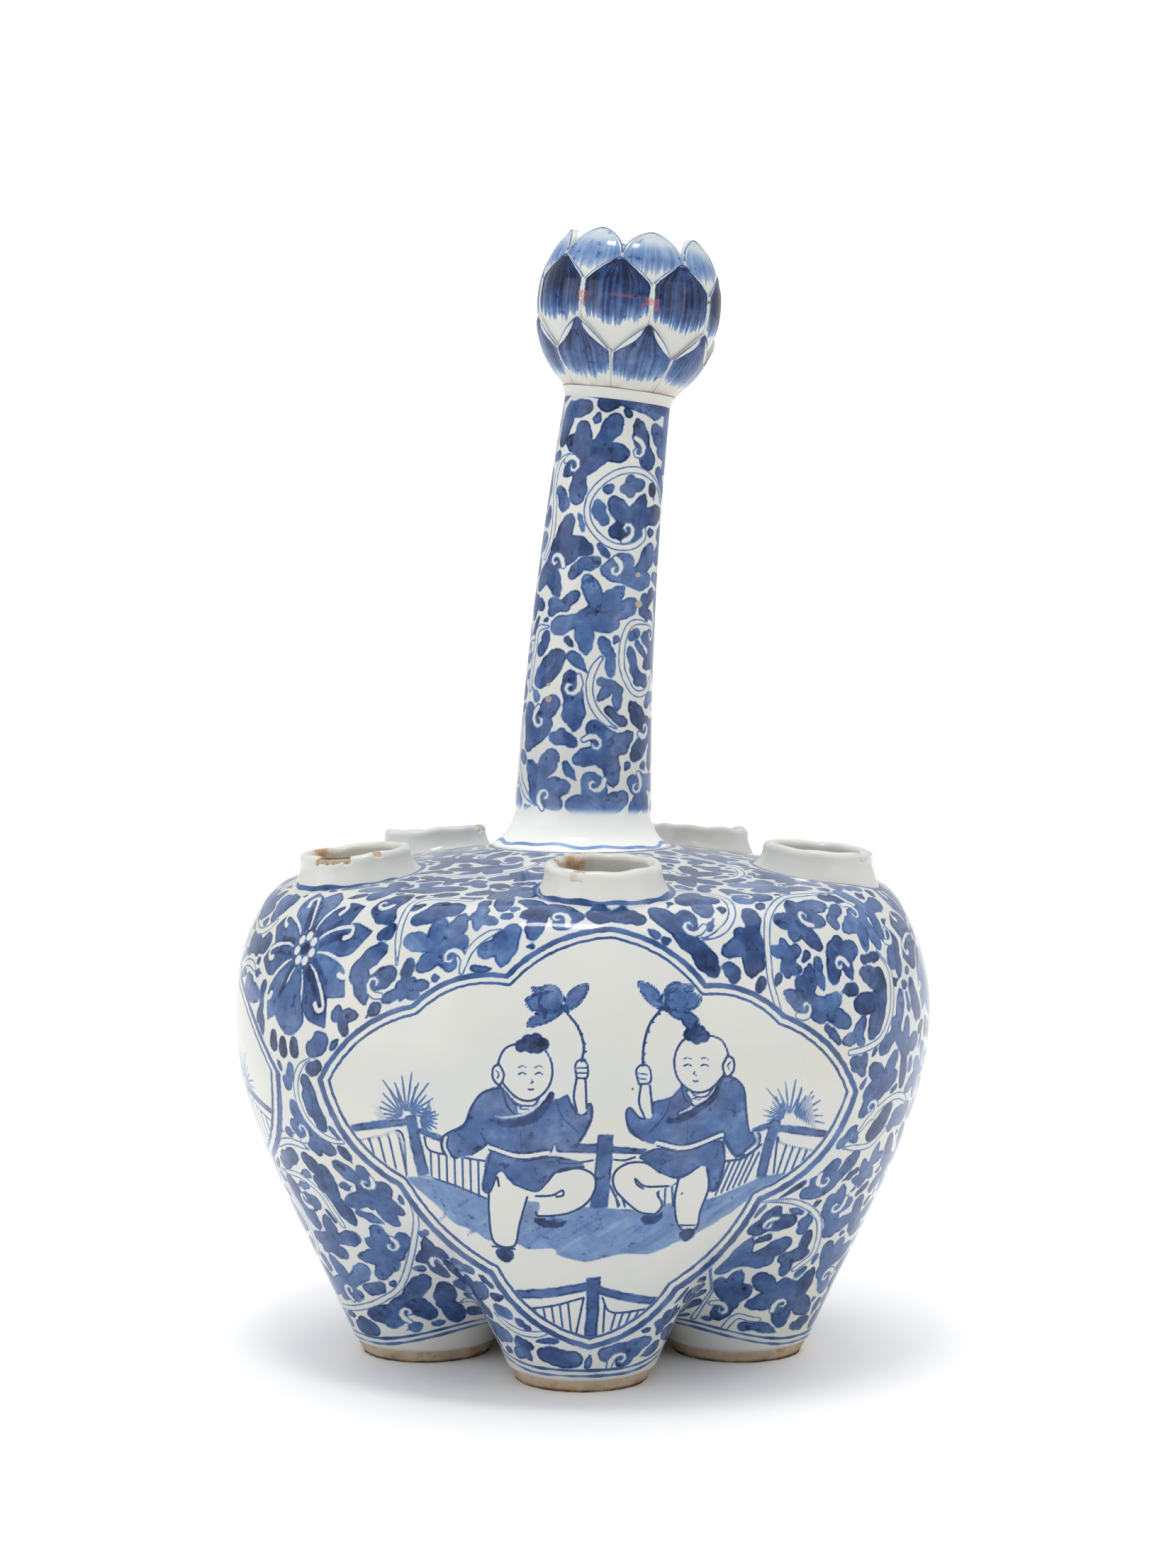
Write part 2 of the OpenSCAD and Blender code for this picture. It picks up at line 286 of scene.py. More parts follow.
def on_neck(points):
    """Points of a straight neck, carried onto its bent middle line."""
    s = points[..., 2]
    tilt = np.arctan(NECK_LEAN + 2 * NECK_BEND * np.clip(s, 0, NECK_LENGTH))
    x = points[..., 0]
    moved = np.stack([x * np.cos(tilt), points[..., 1], -x * np.sin(tilt)], -1)
    return neck_axis(s) + moved


BULB_TILT = math.atan(NECK_LEAN + 2 * NECK_BEND * NECK_LENGTH) * 0.85
BULB_MID = BULB_LOWER * math.sin(math.acos(BULB_SEAT / BULB_R))


def on_bulb(points):
    """Points of an upright bulb, seated on the top of the neck."""
    c, s = math.cos(BULB_TILT), math.sin(BULB_TILT)
    seat = neck_axis(np.array(NECK_LENGTH))
    ex, ez = np.array([c, 0, -s]), np.array([s, 0, c])
    return on_frame(points, seat, ex, np.array([0, 1, 0]), ez)


# Meshes
def grid_faces(n, m, closed, flip):
    """Quads of an n by m grid; a closed grid joins its last column to its first."""
    i = np.arange(n if closed else n - 1)[:, None]
    j = np.arange(m - 1)[None, :]
    i2 = (i + 1) % n
    quad = np.stack([i * m + j, i2 * m + j, i2 * m + j + 1, i * m + j + 1], -1).reshape(-1, 4)
    return quad[:, ::-1] if flip else quad


def grid_normals(p, closed, flip):
    if closed:
        du = np.roll(p, -1, 0) - np.roll(p, 1, 0)
    else:
        du = np.gradient(p, axis=0)
    dv = np.gradient(p, axis=1)
    n = np.cross(du, dv)
    n /= np.maximum(np.linalg.norm(n, axis=-1, keepdims=True), 1e-12)
    return -n if flip else n


class Sheet:
    """One grid of a piece: its points, which way it faces, and what is painted on it."""

    def __init__(self, points, closed=False, flip=False, keep=None, normals=None, **paint):
        self.n, self.m = points.shape[:2]
        self.points = points.reshape(-1, 3)
        self.faces = grid_faces(self.n, self.m, closed, flip)
        if keep is not None:
            self.faces = self.faces[keep.reshape(-1)[self.faces].all(1)]
        if normals is None:
            normals = grid_normals(points, closed, flip)
        self.normals = normals.reshape(-1, 3)
        self.paint = {k: np.asarray(v, float).reshape(-1) for k, v in paint.items()}
        u = np.repeat(np.linspace(0, 1, self.n), self.m)
        v = np.tile(np.linspace(0, 1, self.m), self.n)
        self.uv = np.stack([u, v], -1)


# What every point carries: distances in millimetres to what is painted, tones, shares of wear and stains, and
# where painted shade and painted light lie
FAR = 40.0
PAINT = {"ink_d": 9.0, "ink_tone": 0.6, "line_d": 9.0, "line_tone": 0.8, "bare": 0.0, "stain_and_shade": 0.0,
         "flare_light": 0.0, "rust": 0.0, "vine_d": FAR, "frame_d": FAR}
# Share of the texture map for a piece's first grid, and the margins of the strips for the others
MAIN_SHARE = 0.9
MAP_MARGIN = 0.01
STRIP_FILL = 0.9


def placed(name, data):
    """A new object in the scene."""
    thing = bpy.data.objects.new(name, data)
    bpy.context.scene.collection.objects.link(thing)
    return thing


def make_piece(name, sheets, material, node):
    """A mesh object of several grids, which stands for a CAD node."""
    start = np.cumsum([0] + [len(s.points) for s in sheets])
    points = np.concatenate([s.points for s in sheets]) * MM
    faces = np.concatenate([s.faces + o for s, o in zip(sheets, start)])
    mesh = bpy.data.meshes.new(name)
    mesh.vertices.add(len(points))
    mesh.vertices.foreach_set("co", points.astype(np.float32).ravel())
    mesh.loops.add(faces.size)
    mesh.loops.foreach_set("vertex_index", faces.astype(np.int32).ravel())
    mesh.polygons.add(len(faces))
    mesh.polygons.foreach_set("loop_start", np.arange(0, faces.size, 4, dtype=np.int32))
    mesh.update(calc_edges=True)
    for key, plain in PAINT.items():
        values = [s.paint.get(key, np.full(len(s.points), plain)) for s in sheets]
        layer = mesh.attributes.new(key, "FLOAT", "POINT")
        layer.data.foreach_set("value", np.concatenate(values).astype(np.float32))
    # The first grid takes most of the texture map, and the others share a strip
    strip = (1 - MAP_MARGIN - MAIN_SHARE) / max(len(sheets) - 1, 1)
    uv = [sheets[0].uv * [1, MAIN_SHARE]]
    for i, s in enumerate(sheets[1:]):
        uv.append(s.uv * [1, strip * STRIP_FILL] + [0, MAIN_SHARE + MAP_MARGIN + i * strip])
    layer = mesh.uv_layers.new(name="OFBake")
    layer.data.foreach_set("uv", np.concatenate(uv)[faces.ravel()].astype(np.float32).ravel())
    mesh.polygons.foreach_set("use_smooth", np.ones(len(faces), dtype=bool))
    mesh.normals_split_custom_set_from_vertices(np.concatenate([s.normals for s in sheets]))
    mesh.materials.append(material)
    piece = placed(name, mesh)
    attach(piece, "root")
    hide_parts(node)


# Distances to segments and to chains of round-ended segments with a radius at each end
def segment_d(xy, a, b):
    """Distance to a segment, and how far along it the nearest point lies."""
    ab = np.subtract(b, a)
    ap = xy - a
    t = np.clip(ap @ ab / max(ab @ ab, 1e-9), 0, 1)
    return np.linalg.norm(ap - t[:, None] * ab, axis=1), t


def links(path, radii):
    """The segments of a chain: both ends, and the radius at each."""
    return zip(path[:-1], path[1:], radii[:-1], radii[1:])


def chain_d(xy, path, radii, far=np.inf):
    best = np.full(len(xy), far)
    for a, b, ra, rb in links(path, radii):
        away, t = segment_d(xy, a, b)
        best = np.minimum(best, away - (ra + (rb - ra) * t))
    return best


class Strokes:
    """Brush marks on a skin, as chains of segments."""

    def __init__(self):
        self.rows = []

    def add(self, path, radii, tone):
        for a, b, ra, rb in links(path, radii):
            self.rows.append((np.array(a), np.array(b), ra, rb, tone))

    def field(self, points, reach=3.0):
        """Signed distance to the nearest stroke, and its tone."""
        best = np.full(len(points), reach)
        tone = np.full(len(points), 0.6)
        order = np.argsort(points[:, 0])
        sorted_points = points[order]
        xs = sorted_points[:, 0]
        low, high = points.min(0) - reach, points.max(0) + reach
        for a, b, ra, rb, ink in self.rows:
            pad = reach + max(ra, rb)
            least, most = np.minimum(a, b) - pad, np.maximum(a, b) + pad
            if (most < low).any() or (least > high).any():
                continue
            i0, i1 = np.searchsorted(xs, least[0]), np.searchsorted(xs, most[0])
            part = sorted_points[i0:i1]
            near = np.flatnonzero(((part[:, 1:] > least[1:]) & (part[:, 1:] < most[1:])).all(1))
            if not len(near):
                continue
            away, t = segment_d(part[near], a, b)
            d = away - (ra + (rb - ra) * t)
            where = order[i0:i1][near]
            closer = d < best[where]
            best[where[closer]] = d[closer]
            tone[where[closer]] = ink
        return best, tone


# Body skins come first, because the painting is laid out on them
LOBE_ROWS = 210
# The inner walls have a column for every few of the outer skins
INNER_STEP = 4
LOBE_ANGLES = lobe_columns(150, 95, 16)
lobe_outer = lobe_skin(LOBE_ANGLES, LOBE_ROWS, 0)
lobe_inner = lobe_skin(LOBE_ANGLES[::INNER_STEP], 24, WALL)
DOME_ROWS = 215
DOME_COLUMNS = 230
DOME_INNER = NECK_FLARE - 6
dome_r, dome_h, dome_s = dome_profile(DOME_ROWS, 0, DOME_INNER)
sector = np.linspace(-HALF, HALF, DOME_COLUMNS)
dome_skin = revolve(sector, dome_r, dome_h)

NECK_ROWS = 330
NECK_COLUMNS = 260
NECK_TUCK = 1.0
neck_s = np.linspace(-0.6, NECK_LENGTH + NECK_TUCK, NECK_ROWS)
neck_turn = circle(NECK_COLUMNS)
flare_t = np.clip(neck_s / NECK_FLARE_H, 0, 1)
taper_t = np.clip((neck_s - NECK_FLARE_H) / (NECK_LENGTH - NECK_FLARE_H), 0, 1)
neck_r = NECK_BASE + (NECK_FLARE - NECK_BASE) * (1 - flare_t)**3 + (NECK_TOP - NECK_BASE) * taper_t
neck_r = neck_r - 0.8 * smooth(neck_s, NECK_LENGTH - 0.3, NECK_LENGTH + NECK_TUCK)
neck_skin = on_neck(revolve(neck_turn, neck_r, neck_s))


# Painting in two dimensions: washes, white reserves and brush lines, laid down in order
def polygon_d(xy, outline):
    """Signed distance to a closed outline, negative inside."""
    best = np.full(len(xy), np.inf)
    inside = np.zeros(len(xy), bool)
    for a, b in zip(outline, np.roll(outline, -1, 0)):
        best = np.minimum(best, segment_d(xy, a, b)[0])
        if a[1] != b[1]:
            crosses = (a[1] > xy[:, 1]) != (b[1] > xy[:, 1])
            at = a[0] + (xy[:, 1] - a[1]) * (b[0] - a[0]) / (b[1] - a[1])
            inside ^= crosses & (xy[:, 0] < at)
    return np.where(inside, -best, best)


def spline(points, closed=False, steps=5):
    """A smooth curve through points."""
    p = np.asarray(points, float)
    if closed:
        p = np.concatenate([p[-1:], p, p[:2]])
    else:
        p = np.concatenate([2 * p[:1] - p[1:2], p, 2 * p[-1:] - p[-2:-1]])
    t = np.linspace(0, 1, steps, endpoint=False)[:, None]
    out = []
    for a, b, c, d in zip(p[:-3], p[1:-2], p[2:-1], p[3:]):
        bend, twist = 2 * a - 5 * b + 4 * c - d, 3 * b - a - 3 * c + d
        out.append(0.5 * (2 * b + (c - a) * t + bend * t**2 + twist * t**3))
    if not closed:
        out.append(p[-2:-1])
    return np.concatenate(out)


class Canvas:
    """Paint on points of a flat drawing; distances are in the drawing's units."""

    def __init__(self, xy):
        self.xy = xy
        self.ink_d = np.full(len(xy), 1e3)
        self.ink_tone = np.full(len(xy), 0.6)
        self.line_d = np.full(len(xy), 1e3)
        self.line_tone = np.full(len(xy), 0.8)

    def near(self, shape, pad):
        low, high = np.min(shape, 0) - pad, np.max(shape, 0) + pad
        return np.flatnonzero(((self.xy > low) & (self.xy < high)).all(1))

    def cover(self, kind, where, d, tone):
        mine, tones = getattr(self, kind + "_d"), getattr(self, kind + "_tone")
        top = (d < mine[where]) | (d < 0)
        tones[where[top]] = tone
        mine[where] = np.minimum(mine[where], d)

    def whiten(self, where, d):
        for mine in (self.ink_d, self.line_d):
            mine[where] = np.maximum(mine[where], -d)

    def wash(self, outline, tone):
        self.block(spline(outline, closed=True), tone)

    def block(self, outline, tone):
        """A wash with straight sides and sharp corners."""
        shape = np.array(outline, float)
        where = self.near(shape, 14)
        self.cover("ink", where, polygon_d(self.xy[where], shape), tone)

    def reserve(self, outline):
        """Leave a shape white, over everything painted so far."""
        shape = spline(outline, closed=True)
        where = self.near(shape, 2)
        self.whiten(where, polygon_d(self.xy[where], shape))

    def brush(self, points, widths, tone, on="ink", pad=14):
        """A brush stroke whose full width changes evenly from point to point."""
        path = spline(points)
        given = np.broadcast_to(widths, len(points)) if np.ndim(widths) == 0 else np.asarray(widths, float)
        radii = np.interp(np.linspace(0, 1, len(path)), np.linspace(0, 1, len(given)), given) / 2
        where = self.near(path, pad + radii.max())
        d = chain_d(self.xy[where], path, radii)
        if on == "white":
            self.whiten(where, d)
        else:
            self.cover(on, where, d, tone)

    def line(self, points, width, tone=0.8):
        self.brush(points, width, tone, on="line", pad=6)

    def contour(self, outline, width, tone=0.8):
        points = list(outline)
        self.line(points + points[:1], width, tone)

    def dots(self, points, radius, tone):
        for p in points:
            self.brush([p, np.add(p, 0.1)], 2 * radius, tone)


# The garden picture, on a sketch sheet that lies over part of the photograph's frame
SKETCH_LEFT = 380
SKETCH_TOP = 1380
SKETCH_SCALE = 1.7043
SKETCH_PER_MM = 12.2
SKETCH_MIDDLE = (831 - SKETCH_LEFT) * SKETCH_SCALE

# Corners of the panel's frame on the sketch, clockwise from the top, and how far each side bows out
FRAME_CORNERS = [(821, -109), (1045, 27), (1232, 99), (1401, 273), (1171, 525), (971, 741), (769, 878),
                 (540, 702), (322, 491), (131, 244), (349, 75), (574, 5)]
FRAME_BOWS = [0.10, 0.12, 0.12, 0.12, 0.07, 0.10, 0.11, 0.07, 0.11, 0.12, 0.13, 0.10]


def panel_outline():
    out = []
    for a, b, bow in zip(FRAME_CORNERS, FRAME_CORNERS[1:] + FRAME_CORNERS[:1], FRAME_BOWS):
        a, b = np.array(a, float), np.array(b, float)
        side = np.array([(b - a)[1], -(b - a)[0]]) * bow
        for t in np.linspace(0, 1, 8, endpoint=False):
            out.append(a + (b - a) * t + side * 4 * t * (1 - t))
    return np.array(out)


# Width of the fences' thin lines, and tones of their rails, posts and bars
FENCE_LINE = 5.0
RAIL, POST, BAR = 0.62, 0.66, 0.7


def paint_bars(c, count, top, top_step, low, low_step):
    """A row of thin bars, each one step on from the one before."""
    for i in range(count):
        ends = np.add((top, low), np.multiply((top_step, low_step), i))
        c.line(ends, FENCE_LINE, BAR)


def paint_fence(c):
    # Left stretch
    c.brush([(190, 362), (262, 352), (332, 345)], [15, 19, 16], RAIL)
    c.brush([(362, 366), (412, 386)], [12, 14], RAIL)
    c.block([(326, 332), (352, 326), (366, 400), (384, 470), (358, 476), (340, 404)], POST)
    c.line([(204, 392), (262, 380), (318, 372), (330, 478)], FENCE_LINE)
    paint_bars(c, 5, (218, 392), (23, -4), (230, 424), (25, 12))
    c.line([(372, 382), (386, 414), (450, 428), (520, 440)], FENCE_LINE)
    paint_bars(c, 7, (388, 420), (19, 3), (390, 478), (19, 8))
    c.line([(372, 474), (450, 500), (522, 530)], FENCE_LINE, BAR)
    # Middle post and its rails
    c.block([(686, 397), (790, 399), (790, 421), (690, 418)], RAIL)
    c.block([(822, 404), (906, 411), (900, 424), (822, 420)], RAIL)
    c.line([(672, 440), (720, 446), (778, 438)], FENCE_LINE)
    c.line([(828, 436), (852, 438), (880, 430)], FENCE_LINE)
    c.line([(818, 498), (842, 545)], FENCE_LINE)
    paint_bars(c, 4, (832, 522), (16, 6), (838, 550), (17, 0))
    c.line([(930, 508), (975, 494)], FENCE_LINE)
    paint_bars(c, 3, (936, 510), (16, -4), (930, 548), (20, 0))
    c.block([(790, 376), (827, 378), (822, 460), (813, 550), (770, 554), (783, 460)], POST)
    # Right stretch
    c.brush([(1222, 360), (1290, 368), (1358, 378)], [16, 20, 14], RAIL)
    c.brush([(1168, 366), (1206, 352)], [12, 14], RAIL)
    c.block([(1206, 338), (1230, 342), (1210, 410), (1192, 482), (1170, 478), (1186, 408)], POST)
    c.line([(1222, 380), (1236, 398), (1322, 416)], FENCE_LINE)
    c.line([(1222, 380), (1212, 470)], FENCE_LINE)
    paint_bars(c, 6, (1242, 404), (17, 3), (1220, 472), (15, 1))
    c.line([(1096, 440), (1140, 432), (1186, 398)], FENCE_LINE)
    paint_bars(c, 6, (1108, 438), (14, -4), (1072, 522), (14, -6))


def paint_front_fence(c):
    c.brush([(585, 760), (669, 757), (766, 741)], [19, 22, 20], RAIL)
    c.brush([(792, 750), (859, 767), (931, 777)], [18, 20, 17], RAIL)
    c.line([(598, 796), (680, 788), (756, 768)], FENCE_LINE)
    c.line([(756, 768), (738, 852)], FENCE_LINE)
    paint_bars(c, 6, (618, 796), (20, -3), (626, 812), (20, 9))
    c.line([(800, 768), (826, 804), (928, 792)], FENCE_LINE)
    c.line([(806, 786), (802, 856)], FENCE_LINE)
    paint_bars(c, 5, (832, 806), (18, -1), (820, 848), (18, -8))
    c.block([(763, 722), (796, 719), (792, 800), (786, 872), (756, 872), (762, 800)], POST)


# Fans of pine needles: foot on the sketch, length, lean and spread in degrees
PINES = [(322, 330, 78, -64, 100), (330, 324, 98, 0, 72), (338, 326, 66, 56, 90), (362, 340, 46, 96, 130),
         (1238, 336, 54, -60, 110), (1250, 330, 88, 2, 84), (1262, 332, 74, 66, 104)]
NEEDLE_STEP = 13


def paint_pine(c, x, y, size, lean, spread):
    needles = round(spread / NEEDLE_STEP)
    foot = np.array((x, y))
    for i in range(needles):
        a = math.radians(lean + spread * (i / (needles - 1) - 0.5))
        d = np.array([math.sin(a), -math.cos(a)])
        long = size * (1.0, 0.8, 0.92)[i % 3]
        needle = [foot + d * size * 0.06, foot + d * long * 0.6, foot + d * long]
        c.brush(needle, [3.4, 5.4, 3.6], 0.56, on="line", pad=6)


# Petals of the lotus flower from its heart, back to front, with their tones
LOTUS = [
    ([(-10, -14), (-22, -40), (-50, -50), (-78, -50), (-66, -30), (-40, -16)], 0.6),
    ([(-4, -10), (-2, -30), (-14, -50), (-34, -57), (-54, -48), (-40, -26)], 0.56),
    ([(-8, -8), (-40, -34), (-72, -32), (-94, -18), (-78, 6), (-48, 14), (-14, 6)], 0.6),
    ([(-6, -4), (-12, -30), (-34, -42), (-56, -30), (-62, -10), (-46, 6), (-22, 8)], 0.68),
    ([(-2, 10), (-30, 30), (-58, 41), (-88, 46), (-82, 26), (-62, 16), (-30, 10)], 0.6),
    ([(0, -4), (10, -34), (34, -54), (60, -57), (53, -32), (33, -6), (6, 8)], 0.56),
]


def paint_lotus(c, heart, k):
    """A lotus flower on its stem: a cup of overlapping pointed petals, and one open petal at each side."""
    for petal, tone in LOTUS:
        outline = np.add(heart, np.multiply(petal, (k, 1)))
        c.reserve(outline)
        c.block(outline, tone)
        c.contour(outline, 3.6, 0.92)
    c.brush([np.add(heart, (-7 * k, 2)), np.add(heart, (5 * k, -2))], [17, 15], 0.72)


def paint_stem(c, path):
    c.line(path, 6.5, 0.85)
    fine = spline(path, steps=4)
    for p in fine[1:-1:2]:
        c.line([p, np.add(p, (7, 5))], 3.6, 0.8)


def paint_head(c, x, y, k):
    """A calm child's head, turned a little to one side."""
    def at(*offsets):
        return [(x + dx * k, y + dy) for dx, dy in offsets]

    skull = at((-4, -70), (44, -56), (66, -12), (58, 36), (24, 68), (-14, 66), (-48, 34), (-66, -4),
               (-48, -54))
    ear = at((-62, -18), (-76, -8), (-76, 18), (-60, 32), (-50, 8))
    for outline in (skull, ear):
        c.reserve(outline)
        c.contour(outline, 5.5, 0.85)
    c.line(at((-68, -2), (-62, 6), (-66, 16)), 4, 0.8)
    # Eyes, nose and mouth on the thirds of the face
    eye, nose, mouth = 6, 26, 42
    for e in (-6, 34):
        c.line(at((e - 9, eye + 1), (e, eye - 3), (e + 9, eye + 1)), 4.2, 0.9)
        c.line(at((e - 10, eye - 15), (e, eye - 19), (e + 9, eye - 16)), 3.6, 0.7)
    c.line(at((17, nose - 6), (20, nose), (14, nose + 3)), 3.8, 0.75)
    c.line(at((9, mouth + 1), (15, mouth + 2), (21, mouth + 1)), 4.6, 0.9)


def paint_left_child(c):
    jacket = [(556, 262), (512, 276), (486, 310), (468, 352), (432, 372), (414, 386), (418, 418), (446, 432),
              (486, 424), (520, 402), (540, 418), (600, 436), (668, 426), (690, 400), (728, 406), (756, 382),
              (774, 336), (772, 302), (750, 322), (730, 312), (716, 282), (690, 292), (640, 296), (596, 300)]
    skirt = [(532, 418), (516, 470), (512, 508), (530, 514), (546, 476), (560, 464), (586, 494), (640, 512),
             (668, 490), (694, 464), (756, 448), (716, 434), (668, 428), (600, 438)]
    c.reserve([(526, 498), (528, 566), (540, 632), (588, 642), (602, 590), (620, 528), (604, 490),
               (556, 462)])
    c.reserve([(624, 520), (664, 512), (692, 466), (740, 456), (776, 470), (784, 502), (764, 538), (716, 564),
               (650, 572), (648, 540)])
    c.reserve(jacket)
    c.wash(jacket, 0.6)
    c.wash(skirt, 0.62)
    c.brush([(528, 406), (600, 428), (670, 420)], 13, 0, on="white")
    for dy in (-7, 7):
        c.line([(528, 406 + dy), (600, 428 + dy), (670, 420 + dy)], 4.5, 0.85)
    c.line([(556, 262), (512, 276), (486, 310), (468, 352), (430, 372), (414, 388), (420, 420),
            (450, 432)], 6, 0.85)
    c.line([(486, 424), (520, 400), (508, 372)], 5, 0.85)
    c.line([(560, 266), (574, 310), (604, 338)], 7, 0.8)
    c.reserve([(578, 282), (594, 304), (600, 326), (634, 312), (654, 286), (620, 280)])
    c.line([(588, 300), (606, 312)], 3.6, 0.7)
    c.line([(602, 316), (624, 314)], 3.6, 0.7)
    c.brush([(678, 280), (660, 312), (626, 340), (570, 350), (534, 340)], [14, 20, 22, 18, 8], 0.84)
    c.brush([(664, 280), (644, 308), (612, 327), (566, 335), (542, 332)], [4, 6, 6, 6, 3], 0, on="white")
    c.brush([(425, 382), (421, 404), (434, 430)], 7, 0, on="white")
    c.line([(431, 380), (428, 404), (440, 428)], 4.5, 0.85)
    c.line([(604, 360), (606, 420)], 4.5, 0.75)
    c.line([(690, 292), (702, 330), (744, 372)], 5, 0.8)
    c.line([(716, 282), (730, 312), (750, 322), (772, 302), (774, 340), (750, 386)], 6, 0.85)
    c.line([(532, 420), (514, 500), (530, 514), (546, 478), (552, 500)], 5, 0.85)
    c.line([(586, 494), (640, 512), (668, 490), (694, 464), (756, 452)], 5, 0.85)
    # Trousers and shoes
    c.line([(528, 506), (528, 566), (540, 634), (588, 644), (602, 590), (620, 526)], 5.5, 0.85)
    c.line([(536, 644), (590, 652)], 4.5, 0.85)
    c.wash([(546, 654), (566, 648), (584, 656), (586, 674), (570, 682), (550, 670)], 0.9)
    c.line([(694, 466), (742, 457), (778, 472), (784, 502), (764, 540), (716, 566), (650, 572),
            (640, 562)], 5.5, 0.85)
    c.line([(640, 524), (680, 522), (704, 510), (706, 522), (690, 526)], 5, 0.9)
    c.wash([(640, 576), (690, 584), (716, 584), (700, 598), (668, 600), (642, 590)], 0.9)
    # Raised forearm and hand
    c.reserve([(738, 232), (760, 232), (764, 316), (740, 324), (732, 286)])
    c.line([(738, 244), (732, 286), (740, 322)], 5.5, 0.85)
    c.line([(760, 244), (763, 314)], 5.5, 0.85)
    hand = [(738, 240), (736, 208), (748, 196), (764, 206), (764, 238)]
    c.reserve(hand)
    c.contour(hand, 5, 0.85)
    c.line([(742, 216), (762, 216)], 4, 0.8)
    c.line([(742, 228), (762, 228)], 4, 0.8)
    paint_stem(c, [(751, 200), (756, 162), (742, 118), (716, 84)])
    paint_lotus(c, (708, 72), 1)
    # Head, with a tuft of hair
    paint_head(c, 614, 224, 1)
    c.line([(580, 288), (600, 304), (634, 306), (648, 290)], 4.5, 0.8)
    c.dots([(606, 163), (621, 151), (641, 147), (657, 159), (629, 165), (645, 166)], 15, 0.92)


def paint_right_child(c):
    jacket = [(1078, 240), (1112, 238), (1140, 264), (1146, 318), (1154, 368), (1176, 374), (1176, 396),
              (1150, 420), (1118, 426), (1096, 392), (1082, 386), (1040, 404), (980, 412), (934, 402),
              (900, 390), (868, 366), (858, 326), (868, 312), (890, 336), (914, 334), (926, 298),
              (966, 286), (990, 262), (1030, 276)]
    skirt = [(1084, 390), (1094, 440), (1078, 500), (1060, 510), (1054, 462), (1034, 452), (986, 480),
             (940, 466), (904, 440), (890, 428), (936, 408), (1000, 416)]
    c.reserve([(984, 478), (974, 540), (986, 600), (1026, 600), (1036, 560), (1056, 504), (1052, 454),
               (1016, 458)])
    c.reserve([(940, 468), (904, 444), (860, 446), (830, 468), (828, 500), (850, 530), (890, 562), (926, 566),
               (942, 546), (930, 516), (964, 500), (976, 486)])
    c.reserve(jacket)
    c.wash(jacket, 0.6)
    c.wash(skirt, 0.62)
    c.brush([(932, 396), (1000, 408), (1088, 376)], 12, 0, on="white")
    for dy in (-7, 7):
        c.line([(932, 396 + dy), (1000, 408 + dy), (1088, 376 + dy)], 4.5, 0.85)
    c.line([(1078, 240), (1112, 238), (1140, 264), (1146, 318), (1154, 368), (1178, 374), (1176, 398),
            (1148, 422), (1118, 426), (1094, 390)], 6, 0.85)
    c.reserve([(1004, 272), (1016, 296), (1008, 318), (1044, 300), (1070, 262), (1040, 268)])
    c.line([(1016, 290), (1034, 292)], 3.6, 0.7)
    c.brush([(1086, 244), (1070, 282), (1028, 316), (992, 338), (956, 344)], [10, 16, 18, 16, 8], 0.84)
    c.brush([(1074, 258), (1054, 286), (1016, 310), (984, 326)], [4, 6, 6, 4], 0, on="white")
    c.brush([(1168, 372), (1172, 398), (1146, 420)], 7, 0, on="white")
    c.line([(1161, 374), (1164, 394), (1142, 412)], 4.5, 0.85)
    c.line([(990, 262), (1000, 292), (1020, 306)], 7, 0.8)
    c.line([(1006, 336), (1004, 400)], 4.5, 0.75)
    c.line([(926, 298), (914, 334), (890, 336), (868, 312), (858, 328), (868, 368), (900, 390)], 6, 0.85)
    c.line([(966, 286), (950, 330), (912, 372)], 5, 0.8)
    c.line([(1088, 392), (1094, 440), (1078, 500), (1060, 510), (1054, 462)], 5, 0.85)
    c.line([(1034, 452), (986, 480), (940, 466), (904, 440)], 5, 0.85)
    # Trousers and shoes
    c.line([(984, 480), (974, 540), (986, 600), (1026, 602), (1036, 560), (1056, 504),
            (1052, 456)], 5.5, 0.85)
    c.line([(984, 594), (1026, 594)], 4.5, 0.85)
    c.wash([(984, 614), (1006, 602), (1022, 606), (1018, 622), (998, 632)], 0.9)
    c.line([(940, 468), (904, 444), (860, 446), (830, 468), (828, 500), (850, 530), (890, 562),
            (928, 568)], 5.5, 0.85)
    c.line([(960, 500), (904, 500), (880, 482), (884, 496), (898, 506)], 5, 0.9)
    c.line([(932, 516), (944, 546), (928, 568)], 5, 0.85)
    c.wash([(894, 574), (930, 570), (944, 560), (944, 576), (922, 592), (902, 590)], 0.9)
    # Raised forearm and hand
    c.reserve([(892, 246), (916, 246), (922, 326), (904, 336), (890, 300)])
    c.line([(893, 258), (889, 300), (902, 334)], 5.5, 0.85)
    c.line([(915, 258), (922, 326)], 5.5, 0.85)
    hand = [(888, 254), (882, 222), (896, 208), (914, 216), (916, 250)]
    c.reserve(hand)
    c.contour(hand, 5, 0.85)
    c.line([(888, 228), (908, 232)], 4, 0.8)
    c.line([(888, 240), (908, 244)], 4, 0.8)
    paint_stem(c, [(898, 210), (900, 164), (914, 112), (942, 74)])
    paint_lotus(c, (946, 66), -1)
    # Head, with two tufts of hair
    paint_head(c, 1040, 204, -1)
    c.line([(1012, 268), (1024, 284), (1050, 284), (1066, 266)], 4.5, 0.8)
    c.dots([(1016, 121), (1034, 127), (1045, 140), (1010, 136), (1028, 145)], 14, 0.9)
    c.wash([(996, 112), (990, 92), (1006, 80), (1024, 92), (1024, 112), (1008, 120)], 0.62)


